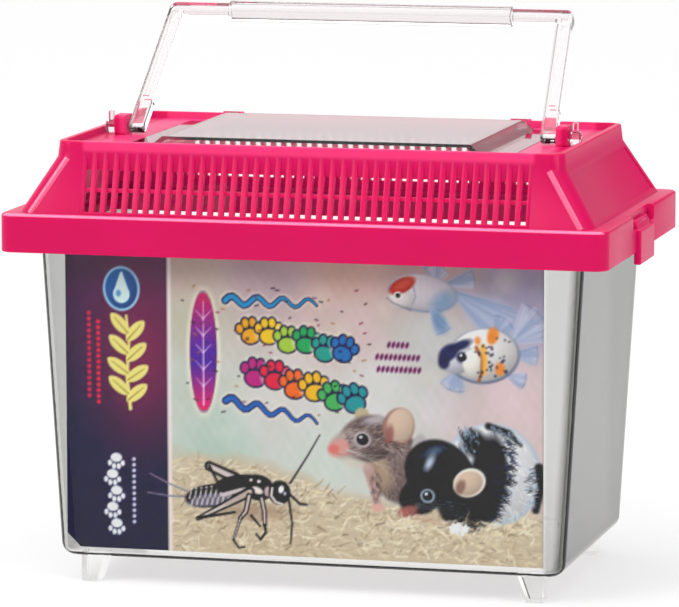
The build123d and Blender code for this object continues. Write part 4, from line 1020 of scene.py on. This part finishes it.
def softened_copy(node_name, body, edge_width):
    """A copy of a frame piece with merged corners, clean flat faces and narrow bevels."""
    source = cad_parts[node_name]
    bpy.ops.object.select_all(action="DESELECT")
    source.select_set(True)
    bpy.context.view_layer.objects.active = source
    bpy.ops.object.duplicate()
    copy = bpy.context.object
    copy.name = node_name + "_soft"
    copy.data.materials.clear()
    copy.data.materials.append(PINK_PLASTIC)
    copy.data.materials.append(PINK_EDGE_HIGHLIGHT)
    bpy.ops.object.mode_set(mode="EDIT")
    bpy.ops.mesh.select_all(action="SELECT")
    bpy.ops.mesh.remove_doubles(threshold=MERGE_DISTANCE)
    bpy.ops.mesh.dissolve_limited(angle_limit=FLAT_WITHIN)
    bpy.ops.object.mode_set(mode="OBJECT")
    bevel = copy.modifiers.new("edges", "BEVEL")
    bevel.width = edge_width
    bevel.segments = 2
    bevel.limit_method = "ANGLE"
    bevel.angle_limit = BEVEL_FROM
    bevel.use_clamp_overlap = True
    # The bevels take the paler edge pink, a painted highlight.
    bevel.material = EDGE_HIGHLIGHT_SLOT
    bpy.ops.object.modifier_apply(modifier="edges")
    bpy.ops.object.shade_smooth_by_angle(angle=SMOOTH_BELOW)
    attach(copy, body)
    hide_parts(node_name)
    return copy


SOFTENED = {
    "lid_shell": ("lid", 0.00035),
    "vent_grille_front": ("lid", 0.00015),
    "vent_grille_back": ("lid", 0.00015),
    "latch_left": ("latch_left", 0.00015),
    "latch_right": ("latch_right", 0.00015),
}
for node_name, (body, edge_width) in SOFTENED.items():
    soft = softened_copy(node_name, body, edge_width)
    print(soft.name, len(soft.data.polygons), "faces")

# %% [markdown]
# ## Beads along the hips
#
# A slim raised bead runs down the front and back slopes beside each hip, from the collar to the
# ledge. Each one is a cylinder pressed flat, laid on the slope and sunk into it by half, and is
# coloured in the paler edge pink, a painted highlight.

# %% Hip beads
BEAD_FOOT, BEAD_HEAD = Vector((82.0, -50.48, 110.1)) * MM, Vector((71.8, -45.80, 126.1)) * MM
BEAD_HALF_WIDTH, BEAD_RISE = 0.85 * MM, 0.32 * MM
SLOPE_LEAN = 0.2924
CORNERS = {"front_left": (-1, -1), "front_right": (1, -1), "back_left": (-1, 1), "back_right": (1, 1)}


def hip_bead(name, side_x, side_y):
    """One flattened bar from the ledge to the collar, mirrored to its own corner of the lid."""
    mirror = Vector((side_x, -side_y, 1.0))
    foot, head = BEAD_FOOT * mirror, BEAD_HEAD * mirror
    along = (head - foot).normalized()
    outward = Vector((0.0, side_y, SLOPE_LEAN)).normalized()
    frame_axes = Matrix((outward.cross(along), outward, along)).transposed()
    bpy.ops.object.select_all(action="DESELECT")
    bpy.ops.mesh.primitive_cylinder_add(vertices=24, radius=1.0, depth=1.0, end_fill_type="TRIFAN")
    bead = bpy.context.object
    bead.name = name
    bpy.ops.object.mode_set(mode="EDIT")
    bpy.ops.mesh.select_all(action="SELECT")
    bpy.ops.transform.resize(value=(BEAD_HALF_WIDTH, BEAD_RISE, (head - foot).length))
    bpy.ops.object.mode_set(mode="OBJECT")
    bead.matrix_world = Matrix.Translation((foot + head) / 2.0) @ frame_axes.to_4x4()
    bpy.ops.object.transform_apply(location=True, rotation=True, scale=True)
    bpy.ops.object.shade_smooth_by_angle(angle=SMOOTH_BELOW)
    # The bead's paler pink is a painted highlight.
    bead.data.materials.append(PINK_EDGE_HIGHLIGHT)
    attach(bead, "lid")
    return bead


for corner, (side_x, side_y) in CORNERS.items():
    bead = hip_bead("hip_bead_" + corner, side_x, side_y)
    print(bead.name, len(bead.data.polygons), "faces")

# %% [markdown]
# ## The remaining pieces
#
# The tank, door, handle and card are right as they stand in the frame, so they only change
# material.

# %% Materials for the other pieces
FINISHES = {
    "tank": TANK_CLEAR, "feeding_door": DOOR_CLEAR, "handle": HANDLE_CLEAR, "label_card": CARD_STOCK
}
for node_name, finish in FINISHES.items():
    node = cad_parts[node_name]
    node.data.materials.clear()
    node.data.materials.append(finish)
print("finished pieces:", len(FINISHES))
